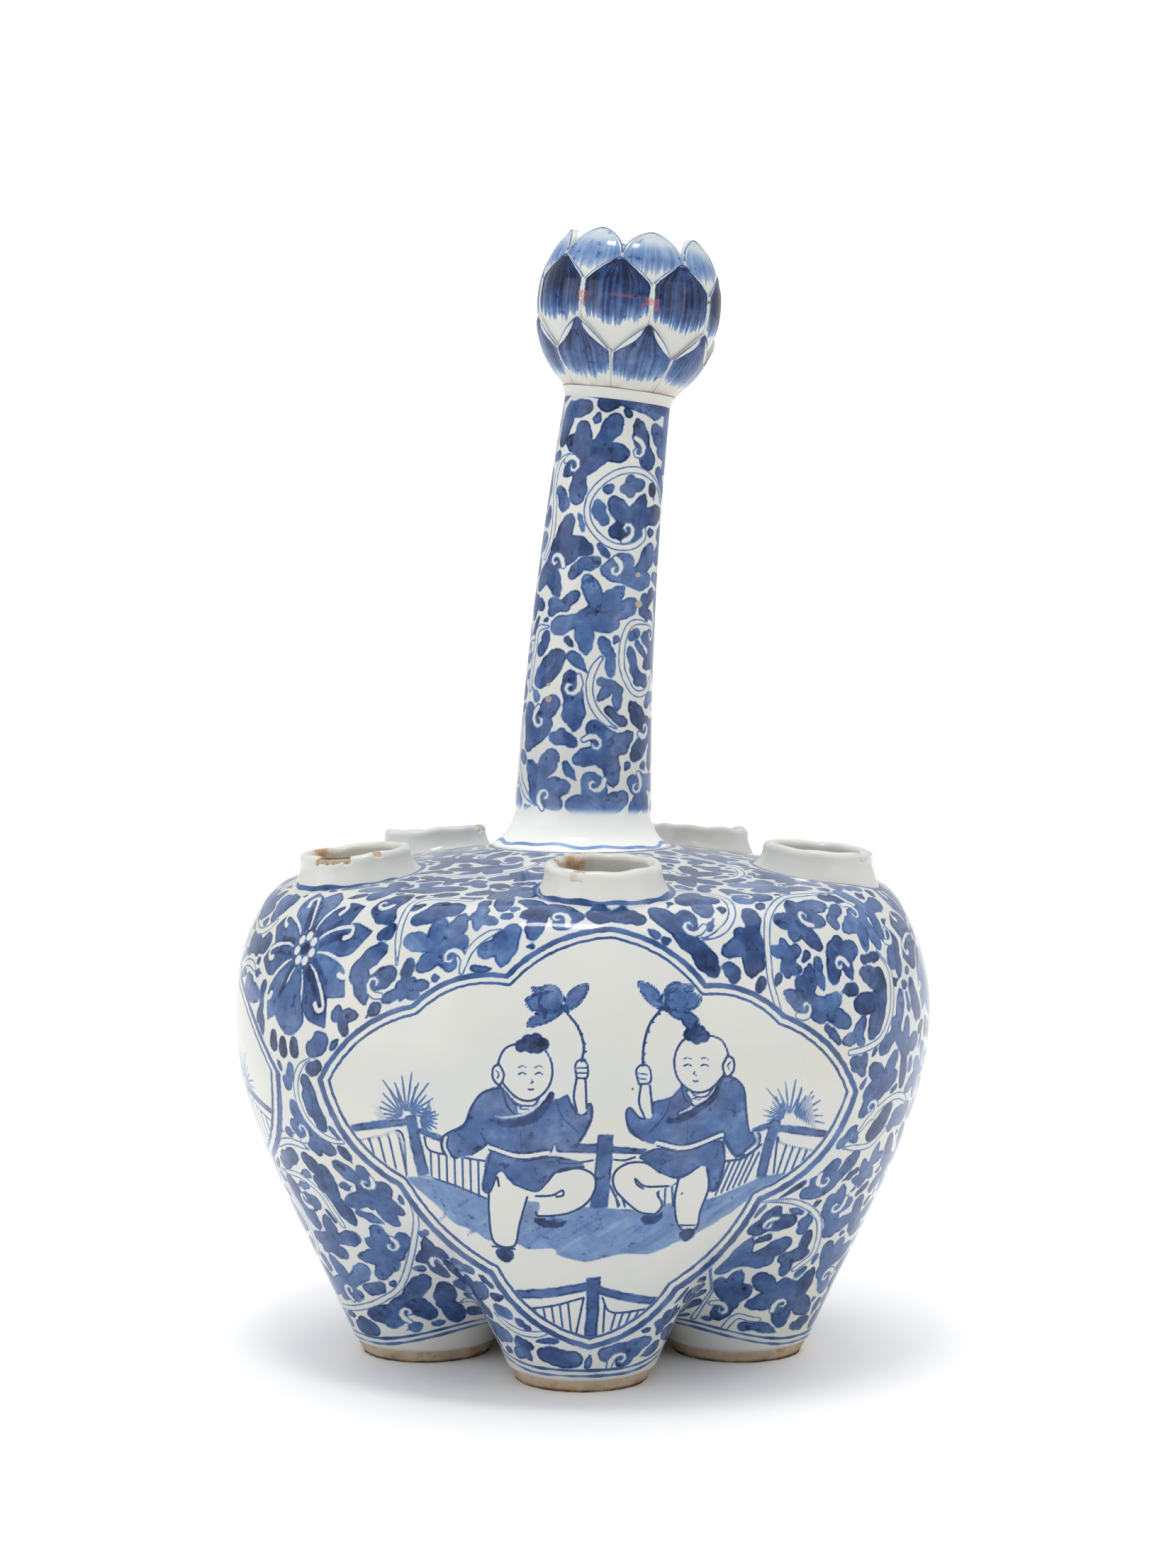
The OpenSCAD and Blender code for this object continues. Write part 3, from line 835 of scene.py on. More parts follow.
# Upper and lower edge of the lawn, and the number of its strokes
LAWN_TOP = [(334, 478), (409, 487), (470, 508), (524, 531), (619, 536), (769, 551), (889, 556),
            (929, 546), (1054, 531), (1119, 506), (1193, 476), (1262, 468)]
LAWN_LOW = [(350, 500), (409, 551), (442, 586), (490, 606), (529, 630), (594, 638), (624, 651),
            (681, 650), (702, 668), (759, 681), (804, 672), (849, 662), (909, 663), (945, 650),
            (974, 636), (1036, 608), (1109, 563), (1159, 528), (1262, 478)]
LAWN_STROKES = 30


def paint_garden(c):
    """The whole picture: fences, pines, ground, two children with lotus flowers."""
    paint_fence(c)
    # The lawn runs along the fence; its strokes slant, and their ends make its lower edge
    c.wash(LAWN_TOP + LAWN_LOW[::-1], 0.43)
    for k, x in enumerate(np.linspace(440, 1130, LAWN_STROKES)):
        high = np.interp(x, *np.transpose(LAWN_TOP))
        low = np.interp(x, *np.transpose(LAWN_LOW))
        y = high + (low - high) * (0.72, 0.4, 0.56)[k % 3]
        c.brush([(x + 40, y - 22), (x, y), (x - 34, y + 24)], [3, 11, 4], (0.36, 0.5, 0.4, 0.47)[k % 4])
    for pine in PINES:
        paint_pine(c, *pine)
    paint_left_child(c)
    paint_right_child(c)
    paint_front_fence(c)


def paint_flower(c):
    """A lotus head from the front, in millimetres: broad petals parted by white ribs that end in curls."""
    turns = [2, 40, 78, 114, 148, 182, 216, 252, 288, 325]
    reach = [14.5, 15.5, 18, 17.5, 18.5, 17.5, 18, 16.5, 15.5, 15]
    for i, (turn, long) in enumerate(zip(turns, reach)):
        a = math.radians(turn)
        d = np.array([math.sin(a), math.cos(a)])
        n = np.array([d[1], -d[0]])
        lean = 1.4 if i % 2 else -1.4
        petal = [d * 3, d * long * 0.42, d * long * 0.72 + n * lean * 0.4, d * long + n * lean]
        c.brush(petal, [3.2, 7.0, 7.2, 0.8], (0.58, 0.7, 0.64)[i % 3])
        fold = [d * 4.5, d * long * 0.4 + n * lean * 0.8, d * long * 0.66 + n * lean * 1.2]
        c.brush(fold, [1.0, 2.2, 0.8], 0.9)
    for turn, long in zip(turns, reach):
        a = math.radians(turn + 18)
        d = np.array([math.sin(a), math.cos(a)])
        way = 1 if turn < 180 else -1
        n = np.array([d[1], -d[0]]) * way
        out = long * 0.86
        rib = [d * 3.6, d * out * 0.5 - n * 0.5, d * out * 0.8 + n * 0.2, d * out + n * 1.6,
               d * (out - 0.7) + n * 3.2, d * (out - 2.2) + n * 3.0]
        c.brush(rib, [0.5, 0.8, 1.0, 1.0, 1.1, 1.4], 0, on="white")
    c.wash([(-6.5, -14), (-3.5, -8), (0, -5), (2.6, -10), (4.2, -15), (-0.8, -18)], 0.62)
    c.brush([(0, 0), (0.1, 0)], 8.6, 0.6)
    for k in np.arange(7) * 2 * math.pi / 7:
        b = np.array([math.sin(k), math.cos(k)]) * 2.75
        c.brush([b, b + 0.05], 2.1, 0, on="white")
    c.brush([(0, 0), (0.1, 0)], 2.6, 1.0)
    # A frilled hem with three dark eyes under the lowest petal
    for x, y in ((-6.8, -19.6), (-3.0, -20.6), (1.2, -20.2)):
        c.brush([(x, y + 0.9), (x, y - 0.7)], [2.6, 3.2], 0.97)


# Scrolling leaves that fill the ground between panels
class Ground:
    """Lays leaf scrolls over a cloud of skin points, keeping white gaps between them."""

    def __init__(self, points, normals, room):
        self.points, self.normals = points, normals
        self.room = room.copy()
        self.vine_room = np.full(len(points), FAR)
        self.ink, self.vine = Strokes(), Strokes()
        self.tree = kdtree.KDTree(len(points))
        for i, p in enumerate(points):
            self.tree.insert(p, i)
        self.tree.balance()

    def frame(self, i, spin):
        n = self.normals[i]
        up = np.array([0, 0, 1.0]) - n * n[2]
        if np.linalg.norm(up) < 0.2:
            up = np.array([-n[0], -n[1], 0]) - self.points[i] * [1, 1, 0] * 0.01
            up -= n * (up @ n)
        up = unit(up)
        side = np.cross(up, n)
        c, s = math.cos(spin), math.sin(spin)
        return c * side + s * up, -s * side + c * up

    def lay(self, flat, i, spin):
        """A flat path, laid on the skin around a point of the cloud."""
        ex, ey = self.frame(i, spin)
        return self.onto([self.points[i] + x * ex + y * ey for x, y in flat])

    def settle(self, p):
        """A point brought down to the skin, and the nearest point of the cloud."""
        q, j, _ = self.tree.find(p)
        n = self.normals[j]
        return p - n * ((p - np.array(q)) @ n), j

    def onto(self, path):
        return np.array([self.settle(p)[0] for p in path])

    def note(self, path, radii, gap, vines=False):
        """Take the room that a stroke fills."""
        mid = path.mean(0)
        reach = np.linalg.norm(path - mid, axis=1).max() + max(radii) + 6
        idx = np.array([j for _, j, _ in self.tree.find_range(mid, reach)], int)
        if not len(idx):
            return
        best = chain_d(self.points[idx], path, radii, FAR)
        self.room[idx] = np.minimum(self.room[idx], best - gap)
        if vines:
            self.vine_room[idx] = np.minimum(self.vine_room[idx], best)

    def spread(self, draw, spacing, least_room):
        """Points of the cloud that keep a distance from each other."""
        taken = self.room < least_room
        chosen = []
        for i in draw.permutation(len(self.points)):
            if not taken[i]:
                chosen.append(i)
                for _, j, _ in self.tree.find_range(self.points[i], spacing):
                    taken[j] = True
        return chosen

    def free(self, path):
        """Room at each point of a path."""
        return np.array([self.room[self.tree.find(p)[1]] for p in path])

    def trace(self, draw, i, steps):
        """A white vine that wanders over the skin in arcs, and ends in a curl."""
        spin = draw.uniform(0, 2 * math.pi)
        heading, _ = self.frame(i, spin)
        p = self.points[i].copy()
        bend = draw.choice([-1, 1]) / draw.uniform(*VINE_RADIUS)
        left = draw.uniform(*VINE_ARC)
        path = [p]
        curl = 0
        for _ in range(steps):
            _, j, _ = self.tree.find(p)
            n = self.normals[j]
            heading = unit(heading - n * (heading @ n))
            heading = unit(heading + np.cross(n, heading) * bend)
            p, j = self.settle(p + heading)
            old = np.array(path[:-9]) if len(path) > 9 else np.full((1, 3), 1e3)
            crossed = np.linalg.norm(old - p, axis=1).min() < SELF_ROOM
            if self.room[j] < 0.5 or self.vine_room[j] < VINE_ROOM or crossed:
                break
            path.append(p)
            left -= 1
            if curl:
                bend *= 1.14
                curl -= 1
                if not curl:
                    break
            elif left < 0:
                left = draw.uniform(*VINE_ARC)
                if len(path) > 30 and draw.random() < 0.4:
                    curl = 9
                else:
                    bend = -np.sign(bend) / draw.uniform(*VINE_RADIUS)
        if len(path) < 12:
            return
        path = np.array(path)
        t = np.linspace(0, 1, len(path))
        self.grow(path, 0.22 + 0.5 * smooth(t, 0, 0.2) - 0.25 * smooth(t, 0.85, 1))

    def grow(self, path, radii):
        self.vine.add(path, radii, 0.6)
        self.note(path, radii, -LEAF_GAP * 0.9, vines=True)

    def set_vine(self, path):
        """A vine through given points, laid on the skin."""
        fine = self.onto(spline(path, steps=6))
        t = np.linspace(0, 1, len(fine))
        self.grow(fine, 0.25 + 0.4 * smooth(t, 0, 0.2) - 0.1 * smooth(t, 0.9, 1))

    def seen(self, px):
        """Points of the cloud that the photograph shows at the given places of its frame."""
        front = np.flatnonzero(self.normals[:, 1] < -0.2)
        flat = photo_px(self.points[front])
        out = []
        for p in px:
            away = np.linalg.norm(flat - p, axis=1)
            nearest = np.argsort(away)[:4]
            out.append(np.average(self.points[front[nearest]], axis=0, weights=1 / (away[nearest] + 0.3)))
        return out

    def sprig(self, draw, i, size, scale=1.0):
        """A branching leaf: a bent stem whose fat lobes reach into the room around it, often with a curl."""
        best, spin = -FAR, 0.0
        for k in range(10):
            turn = k * math.pi / 5 + draw.uniform(0, 0.4)
            room = np.minimum(self.free(self.lay([(-0.5 * size, 0), (0.5 * size, 0)], i, turn)), 4).sum()
            if room > best:
                best, spin = room, turn
        side = draw.choice([-1, 1])
        bow = side * size * draw.uniform(0.1, 0.22)
        wide = draw.uniform(*LOBE_WIDTH) * scale
        reaches = [u * scale for u in LOBE_REACH]
        tone = draw.uniform(0.58, 0.78)

        def stem(t):
            return np.array([size * (t - 0.5), bow * (1 - (2 * t - 1)**2)])

        places = [t for t in (0.0, 0.33, 0.67, 1.0)
                  if (self.free(self.lay([stem(t)], i, spin)) - 0.75 * wide >= LEAF_GAP).all()]
        if len(places) < 2:
            return
        girth = np.full(len(places), wide) * draw.uniform(0.8, 0.95)
        marks = [(self.lay([stem(t) for t in places], i, spin), girth)]
        # The longest free ways out of the stem become its lobes, as long as their tips keep apart
        ways = []
        for t in places:
            for a in np.arange(12) * math.pi / 6 + draw.uniform(0, 0.5):
                out = np.array([math.cos(a), math.sin(a)])
                path = self.lay([stem(t) + out * u for u in reaches], i, spin)
                clear = np.append(self.free(path) - 0.8 * wide - LEAF_GAP, -1) > 0
                n = int(np.argmin(clear))
                if n > 1:
                    ways.append((reaches[n - 1] + draw.uniform(0, 1.2), t, a, reaches[n - 1]))
        tips = []
        for _, t, a, reach in sorted(ways, reverse=True):
            out = np.array([math.cos(a), math.sin(a)])
            tip = stem(t) + out * reach
            if any(np.linalg.norm(tip - other) < LOBE_APART * wide for other in tips):
                continue
            tips.append(tip)
            hook = np.array([-out[1], out[0]]) * draw.uniform(-0.14, 0.14) * reach
            flat = [stem(t) + out * reach * u + hook * u * u for u in (0.1, 0.5, 0.8, 1.0)]
            radii = np.array(LOBE_SHAPES[draw.integers(len(LOBE_SHAPES))]) * wide
            marks.append((self.lay(flat, i, spin), radii))
            if len(tips) == MOST_LOBES:
                break
        for path, radii in marks:
            self.ink.add(path, radii, tone + draw.uniform(-0.07, 0.07))
            self.note(path, radii, 0)
        if scale == 1.0 and len(tips) > 2 and draw.random() < 0.85:
            self.hook(draw, i, spin, stem(0.5), tips)

    def hook(self, draw, i, spin, middle, tips):
        """A white comma that runs in from the widest gap between two lobes and curls up inside the leaf."""
        out = np.array(tips) - middle
        ways = np.arctan2(out[:, 1], out[:, 0])
        order = np.argsort(ways)
        gaps = (np.roll(ways[order], -1) - ways[order]) % (2 * math.pi)
        k = int(np.argmin(np.abs(gaps - HOOK_GAP)))
        way = ways[order][k] + gaps[k] / 2
        long = draw.uniform(*HOOK_LONG)
        side = draw.choice([-1, 1])
        ahead = np.array([math.cos(way), math.sin(way)])
        across = np.array([-ahead[1], ahead[0]]) * side
        flat = [middle + long * (x * ahead + y * across) for x, y, _ in HOOK]
        self.vine.add(self.lay(flat, i, spin), np.array([w for _, _, w in HOOK]), 0.6)

    def leaf(self, draw, i, width, gap):
        """A single leaf along the longest free way through a point, no wider than its room."""
        best, best_way = -1.0, None
        for spin in np.arange(10) * math.pi / 10 + draw.uniform(0, 0.3):
            bend = draw.uniform(-0.07, 0.07)
            ends = []
            for way in (-1, 1):
                steps = [(way * u, bend * u * u) for u in LEAF_STEPS]
                free = self.free(self.lay(steps, i, spin)) - gap
                ends.append(int(np.argmin(np.append(free, -1) > 0.6 * width)))
            if sum(ends) > best:
                best, best_way = sum(ends), (spin, bend, ends)
        spin, bend, ends = best_way
        marks = [-u for u in LEAF_STEPS[:ends[0]]][::-1] + [0.0] + list(LEAF_STEPS[:ends[1]])
        if len(marks) == 1:
            marks = [-0.3, 0.3]
        if draw.random() < 0.5:
            marks = marks[::-1]
        path = self.lay([(u, bend * u * u) for u in marks], i, spin)
        along = np.linspace(0, 1, len(path))
        shape = np.interp(along, [0, 0.3, 0.65, 1], LEAF_SHAPES[draw.integers(len(LEAF_SHAPES))])
        radii = np.clip(np.minimum(shape * width, self.free(path) - gap), 0.25, None)
        # A pointed tail on the wider leaves, where there is room for one
        tail = path[-1] + unit(path[-1] - path[-2]) * (radii[-1] + 0.8)
        if width > TAILED and self.free([tail])[0] > 0.5 * gap:
            path = np.vstack([path, tail])
            radii = np.append(radii, 0.12)
        self.ink.add(path, radii, draw.uniform(0.56, 0.88))
        self.note(path, radii, 0)

    def leaves(self, draw, widths, gap):
        """Fill what room is left with single leaves, the widest first."""
        for width in widths:
            for i in draw.permutation(len(self.points)):
                if self.room[i] - gap >= width:
                    self.leaf(draw, i, min(self.room[i] - gap, width * 1.25), gap)


# Lobes of the sprigs: half-width, lengths tried, room between tips as a share of it, and how many at most
LOBE_WIDTH = (1.85, 2.3)
LOBE_REACH = (2.4, 3.2, 4.0, 4.8, 5.6, 6.4, 7.2)
LOBE_APART = 2.35
MOST_LOBES = 7
# Hook: along and across its length, and half-width; its length; the angle between lobes that it looks for
HOOK = [(1.0, 0.1, 0.62), (0.72, -0.04, 0.7), (0.46, -0.04, 0.62), (0.26, 0.12, 0.5), (0.22, 0.34, 0.42),
        (0.36, 0.5, 0.4), (0.54, 0.46, 0.42), (0.58, 0.3, 0.3)]
HOOK_LONG = (4.2, 5.4)
HOOK_GAP = math.radians(85)
# Half-widths along the lobes and along single leaves, as shares of the widest
LOBE_SHAPES = [(0.8, 1.0, 1.0, 0.7), (0.85, 1.05, 0.8, 0.2), (0.75, 0.85, 1.1, 0.9), (0.9, 1.1, 0.75, 0.3)]
LEAF_SHAPES = [(0.6, 1.0, 0.9, 0.2), (0.9, 1.0, 0.75, 0.3), (0.85, 0.8, 1.0, 0.7), (1.0, 0.62, 1.0, 0.5)]
# Single leaves: lengths tried each way, half-widths, white gap, and the least half-width with a tail
LEAF_STEPS = (0.9, 1.8, 2.7, 3.6)
LEAF_WIDTHS = (1.9, 1.5, 1.15, 0.85)
LEAF_GAP = 0.5
TAILED = 1.2
# Sprigs: their stem's length and spacing in millimetres, and the share of both for the small ones
SCROLL = 6.4
SCROLL_SPACING = 8.6
SMALL_SPRIG = 0.62
# White vines turn in arcs of this radius, for this length, and keep this far from others and from themselves
VINE_RADIUS = (9.0, 14.0)
VINE_ARC = (20.0, 36.0)
VINE_ROOM = 3.2
SELF_ROOM = 2.6
# Rounds of free vines: distance between their starts, and their longest length
VINE_ROUNDS = ((30.0, 80), (20.0, 55))
VINE_START_ROOM = 7


def arabesque(points, normals, room, seed, vines):
    """A ground of given vines, free vines, large and small sprigs, and single leaves."""
    draw = np.random.default_rng(seed)
    ground = Ground(points, normals, room)
    for vine in vines:
        ground.set_vine(ground.seen(vine))
    for gap, steps in VINE_ROUNDS:
        for i in ground.spread(draw, gap, 2.5):
            if ground.vine_room[i] > VINE_START_ROOM:
                ground.trace(draw, i, steps)
    for i in ground.spread(draw, SCROLL_SPACING, 2.0):
        ground.sprig(draw, i, SCROLL)
    for i in ground.spread(draw, 0.5 * SCROLL_SPACING, 1.3):
        ground.sprig(draw, i, SMALL_SPRIG * SCROLL, SMALL_SPRIG)
    ground.leaves(draw, LEAF_WIDTHS, LEAF_GAP)
    return ground


# Layout around the body in degrees from the front: three garden panels, and a shoulder flower in each gap
PANELS = [(0.0, False), (-104.5, True), (133.0, False)]
FLOWERS = [-51.5, 79.0, 194.0]
# The flowers' middle along the shoulder's skin, and half the side of their sheet
FLOWER_S = 18.5
FLOWER_HALF = 32
PANEL_REACH = math.radians(66)
# Beyond this angle around a leg nothing is painted
VALLEY_END = math.radians(118)
# White border inside the frames, room that the frames take, and the gap round the flowers
PANEL_BORDER = 1.2
FRAME_BAND = 0.8
BLOOM_GAP = 0.9


def turn_of(points):
    """Angle from the front, positive to the viewer's right."""
    return np.arctan2(points[:, 0], -points[:, 1])


def wrapped(a):
    return (a + math.pi) % (2 * math.pi) - math.pi


def skin_r(z):
    """Radius of the body without its valleys."""
    upper = np.interp(z, dome_h, dome_r)
    return np.where(z < SEAM_Z, crown_r(np.minimum(z, SEAM_Z)), upper)


def sketch_xy(points, centre, mirrored):
    """Points of the skin on the garden picture's sketch sheet."""
    if centre == 0:
        px = photo_px(points)
    else:
        a = wrapped(turn_of(points) - math.radians(centre))
        r = skin_r(points[:, 2])
        px = photo_px(np.stack([r * np.sin(a), -r * np.cos(a), points[:, 2]], -1))
    xy = (px - [SKETCH_LEFT, SKETCH_TOP]) * SKETCH_SCALE
    if mirrored:
        xy[:, 0] = 2 * SKETCH_MIDDLE - xy[:, 0]
    return xy


def panel_d(points, facing):
    """Distance to the nearest panel's frame in millimetres, and which panel it is."""
    best = np.full(len(points), FAR)
    which = np.full(len(points), -1)
    for k, (centre, mirrored) in enumerate(PANELS):
        away = np.abs(wrapped(turn_of(points) - math.radians(centre)))
        near = np.flatnonzero(facing & (away < PANEL_REACH))
        if len(near):
            d = polygon_d(sketch_xy(points[near], centre, mirrored), panel_outline()) / SKETCH_PER_MM
            closer = d < best[near]
            best[near[closer]] = d[closer]
            which[near[closer]] = k
    return np.minimum(best, FAR), which


def flower_xy(points, centre):
    a = wrapped(turn_of(points) - math.radians(centre))
    s = np.where(points[:, 2] < SEAM_Z, points[:, 2] - SEAM_Z,
                 np.interp(radius_of(points), dome_r[::-1], dome_s[::-1]))
    return np.stack([a * radius_of(points), s - FLOWER_S], -1)


def fixed_art(points, facing):
    """Panels, garden pictures and shoulder flowers on a skin: paint, and the room left for the ground."""
    frame_d, which = panel_d(points, facing)
    paint = {"ink_d": np.full(len(points), FAR), "ink_tone": np.full(len(points), 0.6),
             "line_d": np.full(len(points), FAR), "line_tone": np.full(len(points), 0.8)}
    bloom_d = np.full(len(points), FAR)
    for k, (centre, mirrored) in enumerate(PANELS):
        inside = np.flatnonzero((which == k) & (frame_d < 0.5))
        if not len(inside):
            continue
        c = Canvas(sketch_xy(points[inside], centre, mirrored))
        paint_garden(c)
        edge = frame_d[inside] + PANEL_BORDER
        paint["ink_d"][inside] = np.maximum(c.ink_d / SKETCH_PER_MM, edge)
        paint["line_d"][inside] = np.maximum(c.line_d / SKETCH_PER_MM, edge)
        paint["ink_tone"][inside] = c.ink_tone
        paint["line_tone"][inside] = c.line_tone
    for centre in FLOWERS:
        xy = flower_xy(points, centre)
        near = np.flatnonzero(facing & (np.abs(xy) < FLOWER_HALF).all(1) & (frame_d > 0.3))
        if not len(near):
            continue
        c = Canvas(xy[near])
        paint_flower(c)
        cut = np.maximum(c.ink_d, PANEL_BORDER - frame_d[near])
        closer = cut < paint["ink_d"][near]
        paint["ink_d"][near[closer]] = cut[closer]
        paint["ink_tone"][near[closer]] = c.ink_tone[closer]
        bloom_d[near] = np.minimum(bloom_d[near], np.minimum(c.ink_d, np.linalg.norm(xy[near], axis=1) - 7))
    return paint, np.minimum(frame_d - FRAME_BAND, bloom_d - BLOOM_GAP), frame_d, bloom_d


def nozzle_d(points):
    """Distance from the nearest nozzle's axis."""
    best = np.full(len(points), FAR)
    for i in range(len(LOBES)):
        middle, _, _, up = nozzle_frame(i)
        v = points - middle
        best = np.minimum(best, np.linalg.norm(v - np.outer(v @ up, up), axis=1))
    return best


# Height of the brushed ring on each collar, from the collar's middle on the shoulder
COLLAR_LINE = [-0.3, -2.4, -1.2, -1.2, -0.6]
# How far the collars flare out below their rings
COLLAR_FLARE = 1.5


def collar_level(points):
    """Height above the nearest collar's ring."""
    best = np.full(len(points), FAR)
    level = np.zeros(len(points))
    for i in range(len(LOBES)):
        middle, _, _, up = nozzle_frame(i)
        v = points - middle
        away = np.linalg.norm(v, axis=1)
        closer = away < best
        best = np.where(closer, away, best)
        level = np.where(closer, v @ up - COLLAR_LINE[i], level)
    return level


def collar_edge(points):
    """Distance from the nearest collar's ring or foot, whichever is higher."""
    return nozzle_d(points) - NOZZLE_BASE + COLLAR_FLARE * smooth(-collar_level(points), 0, 2)


# The blue lines round each leg rise into the valleys: their height in front, and how much they rise
FOOT_LINE = 3.9
FOOT_LINE_RISE = 4.5


def foot_line(angle):
    return FOOT_LINE + FOOT_LINE_RISE * smooth(np.abs(angle), math.radians(30), math.radians(122))


def foot_line_slope(angle):
    step = 0.01
    run = LEG_R + 4
    return (foot_line(angle + step) - foot_line(angle - step)) / (2 * step * run)


lobe_normals = grid_normals(lobe_outer, False, False)
lobe_facing = np.repeat(np.abs(LOBE_ANGLES) < VALLEY_END, LOBE_ROWS)
lobe_line = np.repeat(foot_line(LOBE_ANGLES), LOBE_ROWS)
lobe_slope = np.repeat(foot_line_slope(LOBE_ANGLES), LOBE_ROWS)
dome_normals = grid_normals(dome_skin, False, False)
# Where two sectors of the shoulder meet, the skin is level across the seam
for edge in (0, -1):
    n = dome_normals[edge]
    along = [-math.sin(sector[edge]), math.cos(sector[edge]), 0]
    n[:] = n - np.outer(n @ along, along)
    n /= np.linalg.norm(n, axis=1, keepdims=True)

body = []
for kind, skin, normals in (("lobe_", lobe_outer, lobe_normals), ("shoulder_", dome_skin, dome_normals)):
    for i, name in enumerate(LOBES):
        angle = FRONT + i * STEP
        body.append((kind + name, turned(skin, angle), turned(normals, angle)))


def paint_over(paint, kind, d, tone):
    """Lay a mark over what is painted, where it lies nearer."""
    closer = d < paint[kind + "_d"]
    paint[kind + "_d"] = np.where(closer, d, paint[kind + "_d"])
    paint[kind + "_tone"] = np.where(closer, tone, paint[kind + "_tone"])


def every(shape, step):
    """Picks every few columns and rows of a grid."""
    pick = np.zeros(shape, bool)
    pick[::step, ::step] = True
    return pick.reshape(-1)


art = {}
cloud_points, cloud_normals, cloud_room = [], [], []
CLOUD_STEP = 3
for i_body, (name, grid, normals) in enumerate(body):
    points = grid.reshape(-1, 3)
    is_lobe = name.startswith("lobe")
    facing = lobe_facing if is_lobe else np.ones(len(points), bool)
    paint, room, frame_d, bloom_d = fixed_art(points, facing)
    if is_lobe:
        room = np.minimum(room, points[:, 2] - lobe_line - 1.4)
        room = np.where(facing, room, -1)
        for lift, tone in ((0.0, 0.5), (1.3, 0.62)):
            swell = 0.13 * wave(LOBE_ANGLES, (3, 8, 19), (i_body + lift, 2.0 * i_body, 4.0 + lift))
            swell = np.repeat(swell, grid.shape[1])
            d = np.abs(points[:, 2] - lobe_line - lift) / np.hypot(1, lobe_slope) - 0.3 - swell
            paint_over(paint, "line", d, tone + 1.2 * swell)
    else:
        around = nozzle_d(points)
        room = np.minimum(room, collar_edge(points) - 0.6)
        room = np.minimum(room, radius_of(points) - NECK_FLARE - 0.9)
        # A brushed ring round each collar and round the neck, thick and thin by turns
        swell = 0.16 * wave(turn_of(points), (9, 23, 41), (0.3, 1.9, 4.0))
        for d in (np.maximum(np.abs(around - NOZZLE_BASE - 0.4) - 0.6 - swell, -0.4 - collar_level(points)),
                  np.abs(radius_of(points) - NECK_FLARE - 0.5) - 0.5 - swell):
            paint_over(paint, "line", d, 0.64 + swell)
    art[name] = (paint, frame_d, bloom_d)
    pick = every(grid.shape[:2], CLOUD_STEP) & (room > -8)
    cloud_points.append(points[pick])
    cloud_normals.append(normals.reshape(-1, 3)[pick])
    cloud_room.append(room[pick])

# Vines on the body that the photograph shows, in its pixels
BODY_VINES = [
    [(396, 1649), (423, 1658), (452, 1681), (471, 1710), (484, 1729)],
    [(567, 1671), (586, 1712), (588, 1751), (567, 1809), (541, 1833), (510, 1844), (484, 1840)],
    [(1173, 1243), (1138, 1250), (1105, 1267), (1086, 1289), (1082, 1318), (1084, 1354), (1089, 1387),
     (1099, 1426)],
    [(1236, 1344), (1254, 1367), (1259, 1395), (1257, 1430), (1244, 1462), (1224, 1479), (1199, 1485)],
    [(560, 1360), (566, 1305), (598, 1250), (664, 1228)],
    [(1070, 1697), (1125, 1697), (1155, 1720), (1149, 1765), (1120, 1790)],
    [(1190, 1620), (1225, 1615), (1248, 1591)],
    [(1002, 1790), (990, 1837), (1025, 1867), (1070, 1862)],
]
ground = arabesque(np.concatenate(cloud_points), np.concatenate(cloud_normals), np.concatenate(cloud_room),
                   SEED, BODY_VINES)


def painted(points, paint, frame_d, ground, room):
    """All paint values of a skin, with the ground laid outside its panels."""
    near, tone = ground.ink.field(points)
    paint_over(paint, "ink", np.maximum(near, -room), tone)
    paint["vine_d"] = np.maximum(ground.vine.field(points)[0], -room)
    paint["frame_d"] = frame_d
    return paint


# Materials
def tint(r, g, b):
    """A colour given as 8-bit screen values."""
    def linear(v):
        v = v / 255
        return v / 12.92 if v <= 0.04045 else ((v + 0.055) / 1.055)**2.4
    return (linear(r), linear(g), linear(b), 1.0)


